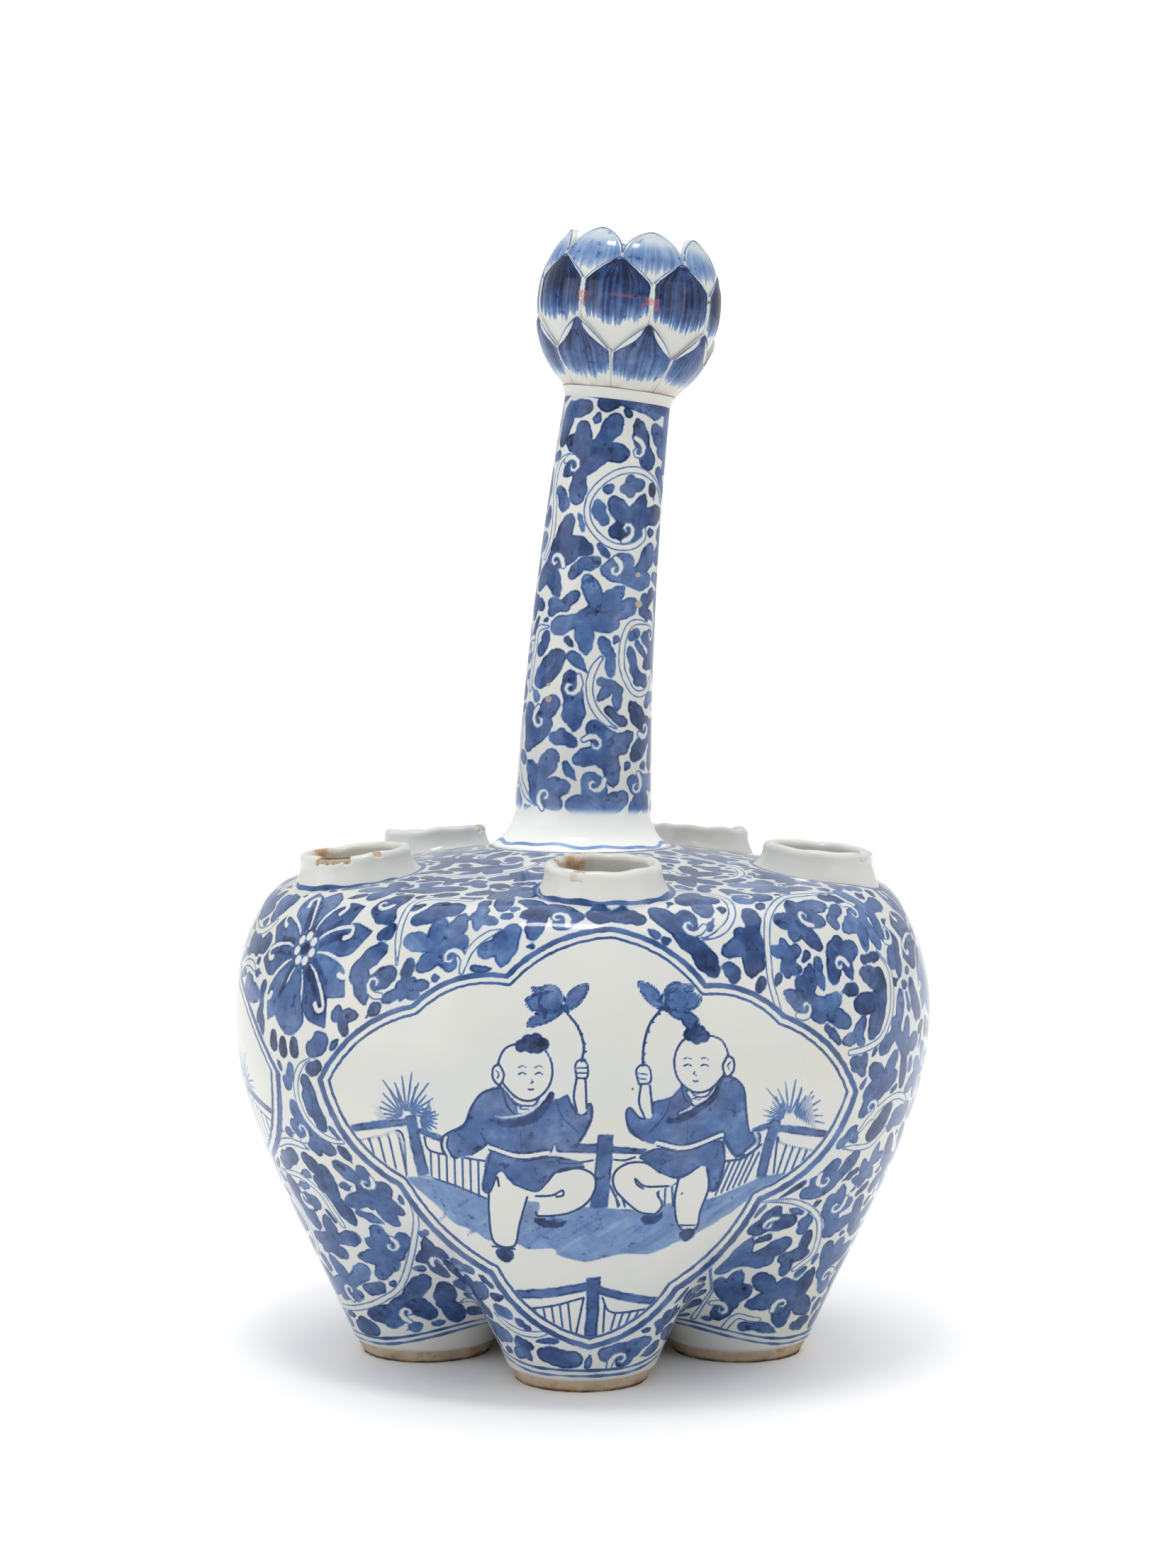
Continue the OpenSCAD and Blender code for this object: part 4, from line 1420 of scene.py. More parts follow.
class Graph:
    """A material's node graph, with short ways to add the nodes used here."""

    def __init__(self, name):
        self.material = bpy.data.materials.new(name)
        self.material.use_nodes = True
        self.tree = self.material.node_tree
        self.shader = self.tree.nodes["Principled BSDF"]
        scale = self.node("VectorMath")
        scale.operation = "SCALE"
        self.set(scale, Vector=self.node("TexCoord").outputs["Object"], Scale=1 / MM)
        self.mm = scale.outputs[0]

    def put(self, socket, value):
        if isinstance(value, bpy.types.NodeSocket):
            self.tree.links.new(value, socket)
        else:
            socket.default_value = value

    def set(self, node, **inputs):
        for key, value in inputs.items():
            self.put(node.inputs[key.replace("_", " ")], value)

    def node(self, kind, **inputs):
        node = self.tree.nodes.new("ShaderNode" + kind)
        self.set(node, **inputs)
        return node

    def math(self, operation, *values):
        node = self.node("Math")
        node.operation = operation
        for socket, value in zip(node.inputs, values):
            self.put(socket, value)
        return node.outputs[0]

    def chain(self, operation, values):
        out = values[0]
        for v in values[1:]:
            out = self.math(operation, out, v)
        return out

    def times(self, *values):
        return self.chain("MULTIPLY", values)

    def plus(self, *values):
        return self.chain("ADD", values)

    def most(self, *values):
        return self.chain("MAXIMUM", values)

    def scaled(self, value, factor, offset):
        return self.math("MULTIPLY_ADD", value, factor, offset)

    def step(self, value, low, high):
        node = self.node("MapRange", Value=value, From_Min=low, From_Max=high)
        node.interpolation_type = "SMOOTHSTEP"
        return node.outputs[0]

    def attr(self, name):
        node = self.node("Attribute")
        node.attribute_name = name
        return node.outputs["Fac"]

    def noise(self, per_mm, detail, rough=0.5):
        node = self.node("TexNoise", Vector=self.mm, Scale=per_mm, Detail=detail, Roughness=rough)
        return node.outputs["Fac"]

    def specks(self, cell_mm, radius_mm, share):
        """Round specks, one in some of the cells."""
        cells = self.node("TexVoronoi", Vector=self.mm, Scale=1 / cell_mm)
        split = self.node("SeparateColor", Color=cells.outputs["Color"])
        some = self.math("LESS_THAN", split.outputs[0], share)
        size = self.scaled(split.outputs[1], radius_mm / cell_mm, radius_mm / cell_mm * 0.4)
        return self.times(some, self.step(cells.outputs["Distance"], size, self.times(size, 0.6)))

    def ramp(self, value, stops):
        node = self.node("ValToRGB")
        self.put(node.inputs[0], value)
        band = node.color_ramp
        while len(band.elements) < len(stops):
            band.elements.new(0.5)
        for element, (place, colour) in zip(band.elements, stops):
            element.position = place
            element.color = colour
        return node.outputs[0]

    def mix(self, share, a, b, blend="MIX"):
        node = self.node("Mix")
        node.data_type = "RGBA"
        node.blend_type = blend
        self.set(node, Factor=share)
        colours = [socket for socket in node.inputs if socket.type == "RGBA"]
        self.put(colours[0], a)
        self.put(colours[1], b)
        return [socket for socket in node.outputs if socket.type == "RGBA"][0]

    def bump(self, height, depth_mm):
        node = self.node("Bump", Distance=depth_mm * MM, Strength=1.0, Height=height)
        self.put(self.shader.inputs["Normal"], node.outputs[0])


GLAZE = tint(205, 205, 199)
GLAZE_BLUE = tint(200, 202, 199)
GLAZE_WARM = tint(206, 203, 191)
# Brighter white, painted on the neck's flare as light
GLAZE_LIT = tint(236, 237, 234)
BISCUIT = tint(160, 140, 118)
BISCUIT_PALE = tint(188, 170, 148)
BISCUIT_RUST = tint(176, 130, 94)
# Dark clay of grime and painted contact shade, at the feet's lower edge
GRIME_AND_SHADE = tint(70, 58, 48)
SOOT = tint(104, 88, 74)
IRON = tint(120, 84, 48)
# Tint of stains, also used for painted shade at the foot of the lower petals
STAIN_AND_SHADE = tint(214, 160, 104)
RUST = tint(172, 90, 86)
# The glaze over more and more cobalt, bright and dull
COBALT = [(0.0, tint(255, 255, 255)), (0.16, tint(200, 219, 244)), (0.34, tint(140, 174, 228)),
          (0.52, tint(92, 128, 192)), (0.7, tint(62, 95, 157)), (0.86, tint(42, 67, 122)),
          (1.0, tint(23, 36, 74))]
COBALT_DULL = [(0.0, tint(255, 255, 255)), (0.34, tint(162, 178, 218)), (0.7, tint(84, 100, 150)),
               (1.0, tint(30, 36, 62))]
GLAZE_ROUGH = 0.1


def bare_clay(g):
    grain = g.noise(1.4, 5, 0.65)
    patch = g.noise(0.12, 3, 0.6)
    clay = g.ramp(patch, [(0.3, BISCUIT), (0.52, BISCUIT_PALE), (0.68, BISCUIT_RUST)])
    dirt = g.step(g.times(grain, g.noise(0.25, 4, 0.7)), 0.27, 0.4)
    return g.mix(g.times(dirt, 0.75), clay, SOOT), grain


def glaze_material(name, with_ground):
    """Bluish-white porcelain glaze over cobalt painting, with a few burnt specks and bare clay at chips."""
    g = Graph(name)
    patch = g.noise(0.16, 3)
    blot = g.noise(0.55, 3, 0.6)
    fine = g.noise(1.9, 3, 0.6)
    ragged = g.scaled(fine, 0.34, -0.17)
    # Washes flow unevenly, and gather in dark rims and heaps in places
    edge = g.plus(g.attr("ink_d"), ragged, g.scaled(blot, 0.5, -0.25))
    tone = g.attr("ink_tone")
    wash = g.times(tone, g.scaled(patch, 0.8, g.scaled(blot, 0.55, 0.24)))
    rim = g.times(g.step(edge, -0.5, -0.18), g.step(tone, 0.44, 0.56), g.step(g.noise(0.22, 2), 0.4, 0.62))
    wash = g.scaled(rim, 0.26, wash)
    wash = g.scaled(g.step(g.noise(0.42, 4, 0.62), 0.59, 0.69), 0.28, wash)
    # No wash where painted light lies on the neck's flare
    wash = g.times(wash, g.step(edge, 0.24, -0.16), g.step(g.attr("flare_light"), 0.92, 0.55))
    parts = [wash]
    if with_ground:
        # White vines with thin outlines, and the two lines of the frames
        vine = g.plus(g.attr("vine_d"), g.scaled(blot, 0.3, -0.15))
        thin = g.step(g.math("ABSOLUTE", vine), 0.26, 0.1)
        frame_d = g.plus(g.attr("frame_d"), g.scaled(blot, 0.5, -0.25))
        parts = [
            g.times(wash, g.step(vine, -0.04, 0.1)),
            g.times(thin, g.scaled(blot, 0.7, 0.1)),
            g.times(g.step(frame_d, 0.1, 0.3), g.step(frame_d, 1.4, 1.1), g.scaled(patch, 0.8, 0.24)),
            g.times(g.step(frame_d, -1.25, -1.08), g.step(frame_d, -0.55, -0.7), g.scaled(patch, 0.6, 0.35)),
        ]
    line = g.step(g.plus(g.attr("line_d"), g.times(ragged, 0.5)), 0.09, -0.09)
    parts.append(g.times(line, g.attr("line_tone"), g.scaled(blot, 0.5, 0.72)))
    ink = g.most(*parts)
    white = g.mix(g.step(g.noise(0.05, 3), 0.35, 0.7), GLAZE, GLAZE_BLUE)
    white = g.mix(g.step(g.noise(0.03, 2), 0.55, 0.75), white, GLAZE_WARM)
    # Painted light: the neck's flare turns a brighter white
    white = g.mix(g.attr("flare_light"), white, GLAZE_LIT)
    dull = g.times(g.step(g.noise(0.09, 2), 0.5, 0.66), 0.42)
    colour = g.mix(1.0, white, g.mix(dull, g.ramp(ink, COBALT), g.ramp(ink, COBALT_DULL)), "MULTIPLY")
    colour = g.mix(g.times(g.attr("rust"), g.step(blot, 0.36, 0.5)), colour, RUST)
    colour = g.mix(g.specks(9.0, 0.34, 0.22), colour, IRON)
    # Stains, and painted shade at the foot of the lower petals, tint the glaze
    seep_and_shade = g.times(g.attr("stain_and_shade"), g.step(g.noise(0.3, 4, 0.6), 0.35, 0.65))
    colour = g.mix(seep_and_shade, colour, STAIN_AND_SHADE, "MULTIPLY")
    chip = g.step(g.plus(g.attr("bare"), g.scaled(fine, 0.5, -0.25)), 0.42, 0.58)
    colour = g.mix(chip, colour, bare_clay(g)[0])
    rough = g.scaled(chip, 0.7, GLAZE_ROUGH)
    g.set(g.shader, Base_Color=colour, Roughness=rough, IOR=1.5, Specular_IOR_Level=0.34)
    g.bump(g.plus(g.noise(0.11, 2), g.times(fine, 0.03)), 0.12)
    return g.material


def biscuit_material():
    g = Graph("biscuit")
    clay, grain = bare_clay(g)
    # Grime with painted contact shade darkens the clay towards the floor
    grime_and_shade = g.times(g.attr("stain_and_shade"), g.step(g.noise(0.2, 4, 0.6), 0.3, 0.6))
    g.set(g.shader, Base_Color=g.mix(grime_and_shade, clay, GRIME_AND_SHADE), Roughness=0.85)
    g.bump(grain, 0.25)
    return g.material


painted_glaze = glaze_material("painted_glaze", True)
white_glaze = glaze_material("white_glaze", False)
petal_glaze = glaze_material("petal_glaze", False)
biscuit = biscuit_material()

# Lobes
for i, (name, grid, normals) in enumerate(body[:5]):
    points = grid.reshape(-1, 3)
    paint, frame_d, bloom_d = art[name]
    room = np.minimum(frame_d - FRAME_BAND + 0.2, bloom_d - BLOOM_GAP)
    room = np.minimum(room, points[:, 2] - lobe_line - 1.2)
    room = np.where(lobe_facing, room, -FAR)
    inner = turned(lobe_inner, FRONT + i * STEP)
    beside = np.arange(len(grid)) // INNER_STEP
    sheets = [
        Sheet(grid, normals=normals, **painted(points, paint, frame_d, ground, room)),
        Sheet(inner, flip=True),
        Sheet(np.stack([grid[:, -1], inner[beside, -1]], 1)),
        Sheet(np.stack([grid[:, 0], inner[beside, 0]], 1), flip=True),
    ]
    make_piece("skin_" + name, sheets, painted_glaze, name)

# Shoulder, in five sectors that share one node
HOLE = 11.2
dome_in_r, dome_in_h, _ = dome_profile(60, WALL, DOME_INNER)
for i, (name, grid, normals) in enumerate(body[5:]):
    points = grid.reshape(-1, 3)
    paint, frame_d, bloom_d = art[name]
    around = nozzle_d(points)
    room = np.minimum(frame_d - FRAME_BAND + 0.2, bloom_d - BLOOM_GAP)
    room = np.minimum(room, collar_edge(points) - 0.3)
    inner = turned(revolve(sector[::INNER_STEP], dome_in_r, dome_in_h), FRONT + i * STEP)
    sheets = [
        Sheet(grid, normals=normals, keep=around > HOLE, **painted(points, paint, frame_d, ground, room)),
        Sheet(inner, flip=True, keep=nozzle_d(inner.reshape(-1, 3)) > HOLE),
    ]
    make_piece("skin_" + name, sheets, painted_glaze, "shoulder")

# Neck
neck_points = neck_skin.reshape(-1, 3)
neck_normals = grid_normals(neck_skin, True, False)
neck_height = np.tile(neck_s, NECK_COLUMNS)
# Widest part of the blue band at the top, and how far below the joint it starts; top of the white flare
TOP_BAND = 2.1
BAND_DROP = 0.9
FLARE_TOP = 8.0
neck_room = np.minimum(neck_height - FLARE_TOP + 1.5, NECK_LENGTH + 0.6 - neck_height)
pick = every(neck_skin.shape[:2], CLOUD_STEP)
# Vines on the neck that the photograph shows, in its pixels
NECK_VINES = [
    [(932, 709), (925, 681), (902, 665), (872, 666), (845, 684), (830, 709), (831, 736), (845, 758),
     (868, 771), (891, 771), (907, 759), (908, 748)],
    [(803, 642), (790, 654), (784, 681), (783, 720), (779, 759), (769, 787)],
    [(920, 881), (895, 879), (881, 897), (877, 927), (881, 954), (895, 977), (911, 975), (916, 959)],
    [(774, 883), (760, 888), (756, 911), (751, 945), (748, 973)],
]
neck_ground = arabesque(neck_points[pick], neck_normals.reshape(-1, 3)[pick], neck_room[pick], SEED + 1,
                        NECK_VINES)
band_edge = np.repeat(0.3 * wave(neck_turn, (2, 5, 9), (0.5, 2.0, 4.0)), NECK_ROWS)
band_side = 0.2 + 0.8 * smooth(neck_points[:, 0] - neck_axis(neck_height)[:, 0], -6, 5)
band_d = NECK_LENGTH - BAND_DROP - TOP_BAND * band_side + band_edge - neck_height
neck_paint = {"ink_d": np.minimum(band_d, FAR), "ink_tone": np.full(len(neck_points), 0.72)}
# Painted light: the flare, which faces up, is painted a brighter white and kept free of wash
neck_paint["flare_light"] = 1 - smooth(neck_height, FLARE_TOP - 2, FLARE_TOP + 5)
ring = 1.0 + np.repeat(0.5 * wave(neck_turn, (3, 7, 12), (1.0, 3.0, 5.0)), NECK_ROWS)
neck_paint["line_d"] = np.abs(neck_height - ring) - 0.3
neck_paint["line_tone"] = 0.42 + np.repeat(0.14 * wave(neck_turn, (2, 5, 9), (2.0, 0.5, 3.0)), NECK_ROWS)
# Small chips on the front, in the photograph's pixels, with their radius in millimetres
NECK_CHIPS = [(900, 811, 0.8), (901, 852, 1.1), (892, 885, 0.7), (774, 966, 0.6), (774, 986, 1.0)]
PX_PER_MM = CAM_FOCAL / CAM_DISTANCE
neck_bare = np.zeros(len(neck_points))
for x, y, size in NECK_CHIPS:
    away = np.linalg.norm(photo_px(neck_points) - [x, y], axis=1) / PX_PER_MM
    neck_bare = np.maximum(neck_bare, (1 - smooth(away, 0.4 * size, size)) * (neck_points[:, 1] < 0))
neck_paint["bare"] = neck_bare
neck_paint = painted(neck_points, neck_paint, np.full(len(neck_points), FAR), neck_ground, neck_room + 0.2)
bore = on_neck(revolve(neck_turn[::INNER_STEP], np.full(12, NECK_BORE), np.linspace(-5, NECK_LENGTH, 12)))
make_piece("skin_neck", [Sheet(neck_skin, closed=True, **neck_paint), Sheet(bore, closed=True, flip=True)],
           painted_glaze, "neck")


# Nozzles: collars turned by hand, with uneven rims and a few chips; how far each rim rises and falls
RIM_WAVE = [0.32, 0.32, 0.55, 0.55, 0.36]
# Chips less deep than this are worn pale
SHALLOW = 0.28
PALE = 0.62
# How deep the collars' feet sink into the shoulder
FOOT_SINK = 0.35
COLLAR_COLUMNS = 200
COLLAR_ROWS = 48


def dome_under(points):
    """Height of the shoulder under points."""
    return np.interp(radius_of(points), dome_r[::-1], dome_h[::-1])


def sector_d(a, place, width):
    """How far an angle lies from a place, as a share of a half-width; both are in degrees."""
    return np.abs(wrapped(a - math.radians(place))) / math.radians(width)


def nozzle_piece(i, chips, stains):
    draw = np.random.default_rng(SEED + 20 + i)
    n = COLLAR_COLUMNS
    a = circle(n)
    middle, ex, ey, ez = nozzle_frame(i)
    lip = NOZZLE_LIP / 2
    top = NOZZLE_H - lip
    t = np.linspace(0, 1, COLLAR_ROWS)
    outer_r = NOZZLE_BORE + NOZZLE_LIP + (NOZZLE_BASE - NOZZLE_BORE - NOZZLE_LIP) * (1 - t)**2.2
    turn = np.linspace(0, math.pi, 14)[1:-1]
    r = np.concatenate([outer_r, NOZZLE_BORE + lip + lip * np.cos(turn), np.full(10, NOZZLE_BORE)])
    z = np.concatenate([top * t, top + lip * np.sin(turn), np.linspace(top, -WALL - 1.2, 10)])
    r = np.broadcast_to(r, (n, len(r))).copy()
    z = np.broadcast_to(z, (n, z.size)).copy()
    lift = smooth(z, 0, NOZZLE_H)
    z += lift * (RIM_WAVE[i] * wave(a, (2, 3, 5, 9), draw.uniform(0, 6, 4)))[:, None]
    outside = np.clip((r - NOZZLE_BORE) / NOZZLE_LIP, 0, 1)
    r += lift * outside * (0.35 * wave(a, (2, 4, 7, 11), draw.uniform(0, 6, 4)))[:, None]
    bare = np.zeros_like(z)
    worn = np.zeros_like(z)
    inside = np.arange(z.shape[1]) > len(t) + 6
    for place, width, low, high, within, depth in chips:
        jag = 0.12 * wave(a, (23, 41, 67), draw.uniform(0, 6, 3))
        across = 1 - smooth(sector_d(a, place, width) + jag, 0.7, 1.0)
        level = z + (0.35 * wave(a, (17, 31, 53), draw.uniform(0, 6, 3)))[:, None]
        mark = smooth(level, low - 0.4, low + 0.1) * (1 - smooth(level, high, high + 0.5))
        mark = across[:, None] * mark * (inside == within)
        r += depth * mark * (1 if within else -1)
        z -= depth * mark * smooth(z, NOZZLE_H - lip, NOZZLE_H)
        pale = PALE if depth < SHALLOW else 0.0
        bare = np.maximum(bare, mark * (1 - pale * smooth(mark, 0.7, 0.95)))
        worn = np.maximum(worn, 0.6 * pale * mark)
    for place, width in stains:
        worn = np.maximum(worn, (1 - smooth(sector_d(a, place, width), 0.2, 1.0))[:, None] * inside)
    p = np.stack([r * np.cos(a)[:, None], r * np.sin(a)[:, None], z], -1)
    world = on_frame(p, middle, ex, ey, ez)
    # The collar's foot follows the shoulder under it
    drop = np.concatenate([(1 - t)**3, np.zeros(z.shape[1] - len(t))])
    world[..., 2] += drop * (dome_under(world) - FOOT_SINK - world[..., 2])[:, :1]
    # The shoulder's ornament runs up the outer side of the foot to the ring
    points = world.reshape(-1, 3)
    level = (points - middle) @ ez - COLLAR_LINE[i]
    level += np.repeat(0.3 * wave(a, (3, 7, 12), draw.uniform(0, 6, 3)), z.shape[1])
    flat = points.copy()
    flat[:, 2] = dome_under(points)
    near, tone = ground.ink.field(flat)
    foot = np.broadcast_to(np.arange(z.shape[1]) < len(t), z.shape).reshape(-1)
    ink = np.maximum(np.maximum(near, level), 0.1 - ground.vine.field(flat)[0])
    swell = np.repeat(0.2 * wave(a, (2, 5, 11), draw.uniform(0, 6, 3)), z.shape[1])
    ring = np.abs(level) - 0.5 - swell
    sheet = Sheet(world, closed=True, bare=bare, stain_and_shade=worn, ink_d=np.where(foot, ink, FAR), ink_tone=tone,
                  line_d=np.where(foot, ring, FAR), line_tone=0.62 + swell)
    make_piece("collar_" + LOBES[i], [sheet], white_glaze, "nozzle_" + LOBES[i])


# Chips of each collar: angle from outwards and half-width in degrees, height range, inside or outside, depth
TOP = NOZZLE_H
CHIPS = [
    [(-33, 9, 3.8, 5.4, False, 0.25), (-105, 9, 4.2, TOP, True, 0.5)],
    [(-27, 8, TOP - 1.6, TOP, False, 0.25), (-100, 6, 4.6, TOP, True, 0.3)],
    [(160, 16, 4.6, TOP, True, 0.5)],
    [(-150, 10, 4.4, TOP, False, 0.4), (120, 8, 4.6, TOP, True, 0.4)],
    [(46, 24, TOP - 1.5, TOP + 1, False, 0.55), (46, 20, TOP - 1.0, TOP + 1, True, 0.3),
     (95, 5, 4.9, TOP, False, 0.3)],
]
STAINS = [[(-140, 40)], [], [(60, 30)], [], [(-60, 30)]]
for i in range(len(LOBES)):
    nozzle_piece(i, CHIPS[i], STAINS[i])


# Feet: flat discs of bare clay with a worn, uneven edge, darker towards the floor with grime and painted
# contact shade
RING_COLUMNS = 160


def foot_piece(i):
    draw = np.random.default_rng(SEED + 40 + i)
    n = RING_COLUMNS
    a = circle(n)
    top_r = LEG_R - GLAZE_ROLL
    profile = [(0.02, 0.0), (FOOT_REST_R - 0.9, 0.0), (FOOT_REST_R - 0.3, 0.08), (FOOT_REST_R + 0.25, 0.5),
               (FOOT_REST_R + 0.6, 1.1), (top_r - 0.25, 1.8), (top_r, FOOT_H), (top_r - 1.5, FOOT_H + 0.05)]
    fine = spline(profile, steps=4)
    r = np.broadcast_to(fine[:, 0], (n, len(fine))).copy()
    z = np.broadcast_to(np.clip(fine[:, 1], 0, None), (n, len(fine))).copy()
    ring = smooth(r, FOOT_REST_R - 2, FOOT_REST_R)
    r += ring * (0.16 * wave(a, (3, 7, 13, 29), draw.uniform(0, 6, 4)))[:, None]
    angle = FRONT + i * STEP
    p = np.stack([FOOT_RING + r * np.cos(a)[:, None], r * np.sin(a)[:, None], z], -1)
    # Darker towards the floor: grime with painted contact shade
    worn = Sheet(turned(p, angle), closed=True, stain_and_shade=0.85 * (1 - smooth(z, 0.1, 0.9)))
    make_piece("disc_" + LOBES[i], [worn], biscuit, "foot_" + LOBES[i])


for i in range(len(LOBES)):
    foot_piece(i)


# Bulb: a cup on the neck, and three tiers of eight petals that overlap upwards
def bulb_r(h, inset=0.0):
    tall = np.where(h < 0, BULB_LOWER, BULB_UPPER) - inset
    return (BULB_R - inset) * np.sqrt(np.clip(1 - (h / tall)**2, 0, 1))


# A bead of glaze rounds the joint with the neck: its ends below and above it, and how far it stands out
BEAD_DROP = 1.3
BEAD_RISE = 1.0
BEAD_PROUD = 0.12
BEAD_INSET = 0.75


def cup_piece():
    bead = np.linspace(0, 1, 14)
    bead_h = -BULB_MID - BEAD_DROP + (BEAD_DROP + BEAD_RISE) * bead
    bead_r = NECK_TOP + BEAD_PROUD + (bulb_r(bead_h[-1]) - BEAD_INSET - NECK_TOP) * bead**2
    out_h = np.linspace(-BULB_MID + BEAD_RISE, BULB_RIM, 40)
    in_h = np.linspace(BULB_RIM, -BULB_MID + 5, 40)
    face_r, wall_r = bulb_r(out_h, PETAL_T), bulb_r(in_h, PETAL_T + BULB_WALL)
    r = np.concatenate([[NECK_TOP - 0.4], bead_r, face_r, wall_r, [NECK_BORE]])
    h = np.concatenate([[bead_h[0] - 0.1], bead_h, out_h, in_h, [-BULB_MID + 2.2]])
    p = on_bulb(revolve(circle(RING_COLUMNS), r, h + BULB_MID))
    make_piece("cup", [Sheet(p, closed=True)], white_glaze, "bulb_cup")


PETAL_PHASE = FRONT + math.radians(14)
# Rings of petals. Heights are from the widest ring in millimetres, and shares are of a petal's length:
# arch is the length of the pointed end, point and sharp shape it, and proud is how far the tip stands out;
# ink starts at ink_from, as dark as dark, leaves gap white at the sides and rim more at the point, and fades
LOWER_TIER = SimpleNamespace(node="petals_lower", turn=0.0, low=-BULB_MID + 0.6, tip=-4.2, arch=6.6,
                             point=1.0, sharp=0.9, proud=0.5, ink_from=0.1, dark=0.95, gap=0.55, rim=1.5,
                             fade=0.0)
MIDDLE_TIER = SimpleNamespace(node="petals_middle", turn=0.5, low=-11.0, tip=9.2, arch=5.6, point=1.3,
                              sharp=0.85, proud=0.3, ink_from=0.25, dark=1.12, gap=0.8, rim=0.2, fade=0.0)
UPPER_TIER = SimpleNamespace(node="petals_upper", turn=0.0, low=0.0, tip=15.3, arch=5.6, point=2.2,
                             sharp=0.65, proud=0.0, ink_from=0.35, dark=0.6, gap=0.5, rim=0.4, fade=0.9)
# Hairs of the brush, and columns and rows of a petal's face
HAIRS = 54
PETAL_COLUMNS = 48
PETAL_ROWS = 64


def between(x, low, high, soft):
    return smooth(x, low - soft, low + soft) * (1 - smooth(x, high - soft, high + soft))


# Red residue on the bulb: its middle in degrees, and two blots by turn and height, with their strength
RESIDUE_TURN = 8.5
BLOTS = [(16, 27, -1.7, 0.8, 0.55), (-25, -19, -1.9, 1.1, 0.65)]


def residue(a, h):
    """Old red residue in a thin band across the front of the bulb, with two blots."""
    turn = np.degrees(wrapped(a - FRONT)) + RESIDUE_TURN
    red = 0.6 * smooth(turn, -10, 6) * (1 - smooth(turn, 20, 24)) * between(h, 0.55, 0.9, 0.15)
    for left, right, low, high, strength in BLOTS:
        red = np.maximum(red, strength * between(turn, left, right, 0.8) * between(h, low, high, 0.2))
    return red


def petal_sheet(draw, angle, tier):
    """One petal as a closed leaf: rounded face, raised edge, hollow back; ink streaks run up its face."""
    tip = tier.tip + draw.uniform(-0.35, 0.0)
    across = np.linspace(-1, 1, PETAL_COLUMNS)
    u = np.concatenate([across, across[-2:0:-1]])[:, None]
    front = np.concatenate([np.ones(PETAL_COLUMNS), np.zeros(PETAL_COLUMNS - 2)])[:, None]
    v = 1 - (1 - np.linspace(0, 1, PETAL_ROWS))**1.4
    h = tier.low + (tip - tier.low) * v
    t = np.clip((h - tip + tier.arch) / tier.arch, 0, 1)
    wide = (1 - t**tier.point)**tier.sharp
    half = math.pi / PETALS * 1.01
    lean = draw.uniform(-0.04, 0.04)
    a = angle + u * half * wide + lean * v**2
    rise = -PETAL_T * 0.75 * (1 - smooth(v, 0, 0.55)) + tier.proud * smooth(v, 0.5, 1)
    arch = 0.45 * (1 - u**2) * np.minimum(1, 5 * (1 - v))
    lip = 0.24 * smooth(np.abs(u), 0.76, 0.92) * (1 - smooth(np.abs(u), 0.95, 1.0))
    face = bulb_r(h) + rise + arch + lip - 0.3
    thick = PETAL_T * smooth(v, 0, 0.1) * (1 - front)
    r = face - thick
    p = np.stack([r * np.cos(a), r * np.sin(a), np.broadcast_to(h + BULB_MID, r.shape)], -1)
    # Streaks: each brush hair starts at its own height and carries its own load of ink
    hairs = np.linspace(-1, 1, HAIRS)
    start = np.interp(u, hairs, tier.ink_from + 0.13 * draw.random(HAIRS) + 0.1 * hairs**2)
    load = np.interp(u, hairs, draw.uniform(0.62, 1.04, HAIRS))
    reach = half * wide * BULB_R
    edge = np.minimum((1 - np.abs(u)) * reach, (1 - v) * tier.arch + 0.25 * reach)
    rim = tier.gap + tier.rim * np.sin(math.pi * np.clip(t * 1.15, 0, 1)) - 0.3 * smooth(t, 0.6, 1)
    d = np.maximum((start - v) * (tip - tier.low), rim - edge)
    d = np.where(front > 0, d, 3)
    tone = tier.dark * load * (0.74 + 0.34 * smooth(v, tier.ink_from, 0.85))
    tone = tone * (1 - tier.fade * smooth(v, 0.55, 0.95)) * (0.5 + 0.5 * smooth(v, start, start + 0.12))
    line = np.where((front > 0) & (t > 0.02), np.abs(edge - 0.3) - 0.19, 3)
    rust = residue(a, h) if tier is MIDDLE_TIER else np.zeros(d.shape)
    # The lower petals darken towards their foot at the joint: stain with painted shade
    grime_and_shade = 0.45 * (1 - smooth(v, 0, 0.2)) if tier is LOWER_TIER else np.zeros(len(v))
    return Sheet(on_bulb(p), closed=True, ink_d=d, ink_tone=np.clip(tone, 0.12, 1.08), line_d=line,
                 line_tone=np.full(d.shape, 0.56), rust=rust * front, stain_and_shade=grime_and_shade * front)


def tier_piece(tier, seed):
    draw = np.random.default_rng(seed)
    turns = PETAL_PHASE + (np.arange(PETALS) + tier.turn) * 2 * math.pi / PETALS
    sheets = [petal_sheet(draw, turn, tier) for turn in turns]
    make_piece("leaves_" + tier.node, sheets, petal_glaze, tier.node)


cup_piece()
for k, tier in enumerate((LOWER_TIER, MIDDLE_TIER, UPPER_TIER)):
    tier_piece(tier, SEED + 60 + k)

# Studio: a pale floor, a white backdrop and soft lamps, in metres
FLOOR = 6.0
WALL_X, WALL_Y, WALL_Z = 5.0, 3.0, 4.0
WALL_FOOT = -0.01
WHITE = (1, 1, 1, 1)


def plain_quad(name, corners, **looks):
    """A flat piece of the studio with an even material."""
    mesh = bpy.data.meshes.new(name)
    mesh.from_pydata(corners, [], [(0, 1, 2, 3)])
    material = bpy.data.materials.new(name)
    material.use_nodes = True
    for key, value in looks.items():
        material.node_tree.nodes["Principled BSDF"].inputs[key.replace("_", " ")].default_value = value
    mesh.materials.append(material)
    return placed(name, mesh)


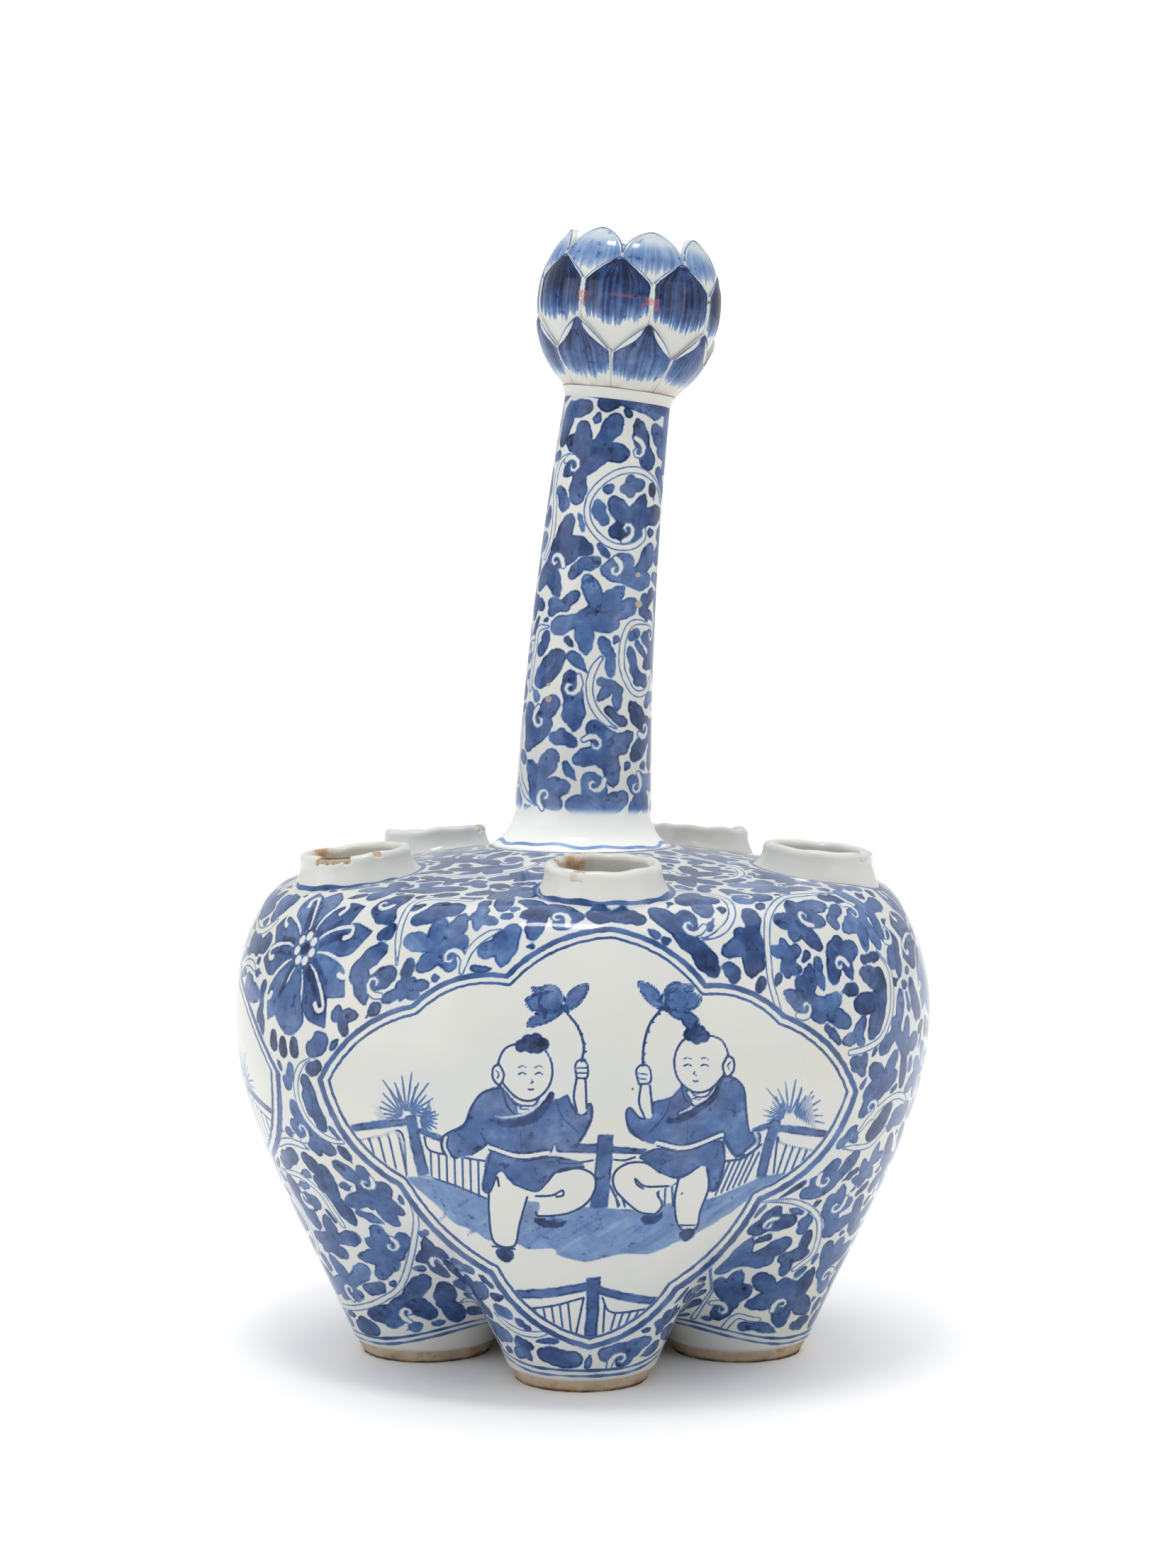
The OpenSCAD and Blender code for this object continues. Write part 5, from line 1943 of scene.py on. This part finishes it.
floor = plain_quad("floor", [(-FLOOR, -FLOOR, 0), (FLOOR, -FLOOR, 0), (FLOOR, FLOOR, 0), (-FLOOR, FLOOR, 0)],
                   Base_Color=(0.96, 0.96, 0.96, 1), Roughness=0.9)
backdrop = plain_quad("backdrop", [(-WALL_X, WALL_Y, WALL_FOOT), (WALL_X, WALL_Y, WALL_FOOT),
                                   (WALL_X, WALL_Y, WALL_Z), (-WALL_X, WALL_Y, WALL_Z)],
                      Base_Color=(0, 0, 0, 1), Emission_Color=WHITE, Emission_Strength=1.5)
# The glaze mirrors the room alone, which keeps its outline clear
backdrop.visible_glossy = False

world = bpy.data.worlds.new("room")
world.use_nodes = True
world.node_tree.nodes["Background"].inputs["Color"].default_value = WHITE
world.node_tree.nodes["Background"].inputs["Strength"].default_value = 0.63
bpy.context.scene.world = world


def lamp(name, place, aim, wide, tall, power):
    light = bpy.data.lights.new(name, "AREA")
    light.shape = "RECTANGLE"
    light.size = wide
    light.size_y = tall
    light.energy = power
    thing = placed(name, light)
    thing.location = place
    thing.rotation_euler = (Vector(aim) - Vector(place)).to_track_quat("-Z", "Y").to_euler()


lamp("key", (-0.95, -0.45, 0.2), (0, 0, 0.1), 0.9, 0.9, 3.0)
lamp("fill", (0.9, -0.6, 0.3), (0, 0, 0.1), 0.7, 0.7, 1.2)
lamp("window", (-0.06, -0.2, 0.78), (0, -0.06, 0.1), 0.22, 0.08, 1.2)
sky = bpy.data.lights.new("sky", "SUN")
sky.energy = 1.25
sky.angle = math.radians(70)
placed("sky", sky).rotation_euler = (math.radians(-7), math.radians(4), 0)

camera = bpy.data.cameras.new("camera")
camera.sensor_width = 36.0
camera.lens = CAM_FOCAL / PHOTO_H * camera.sensor_width
camera_object = placed("camera", camera)
camera_object.location = (CAM_SHIFT * MM, -CAM_DISTANCE * MM, CAM_HEIGHT * MM)
camera_object.rotation_euler = (math.pi / 2 - CAM_PITCH, 0, 0)
bpy.context.scene.camera = camera_object
bpy.context.scene.view_settings.view_transform = "Standard"
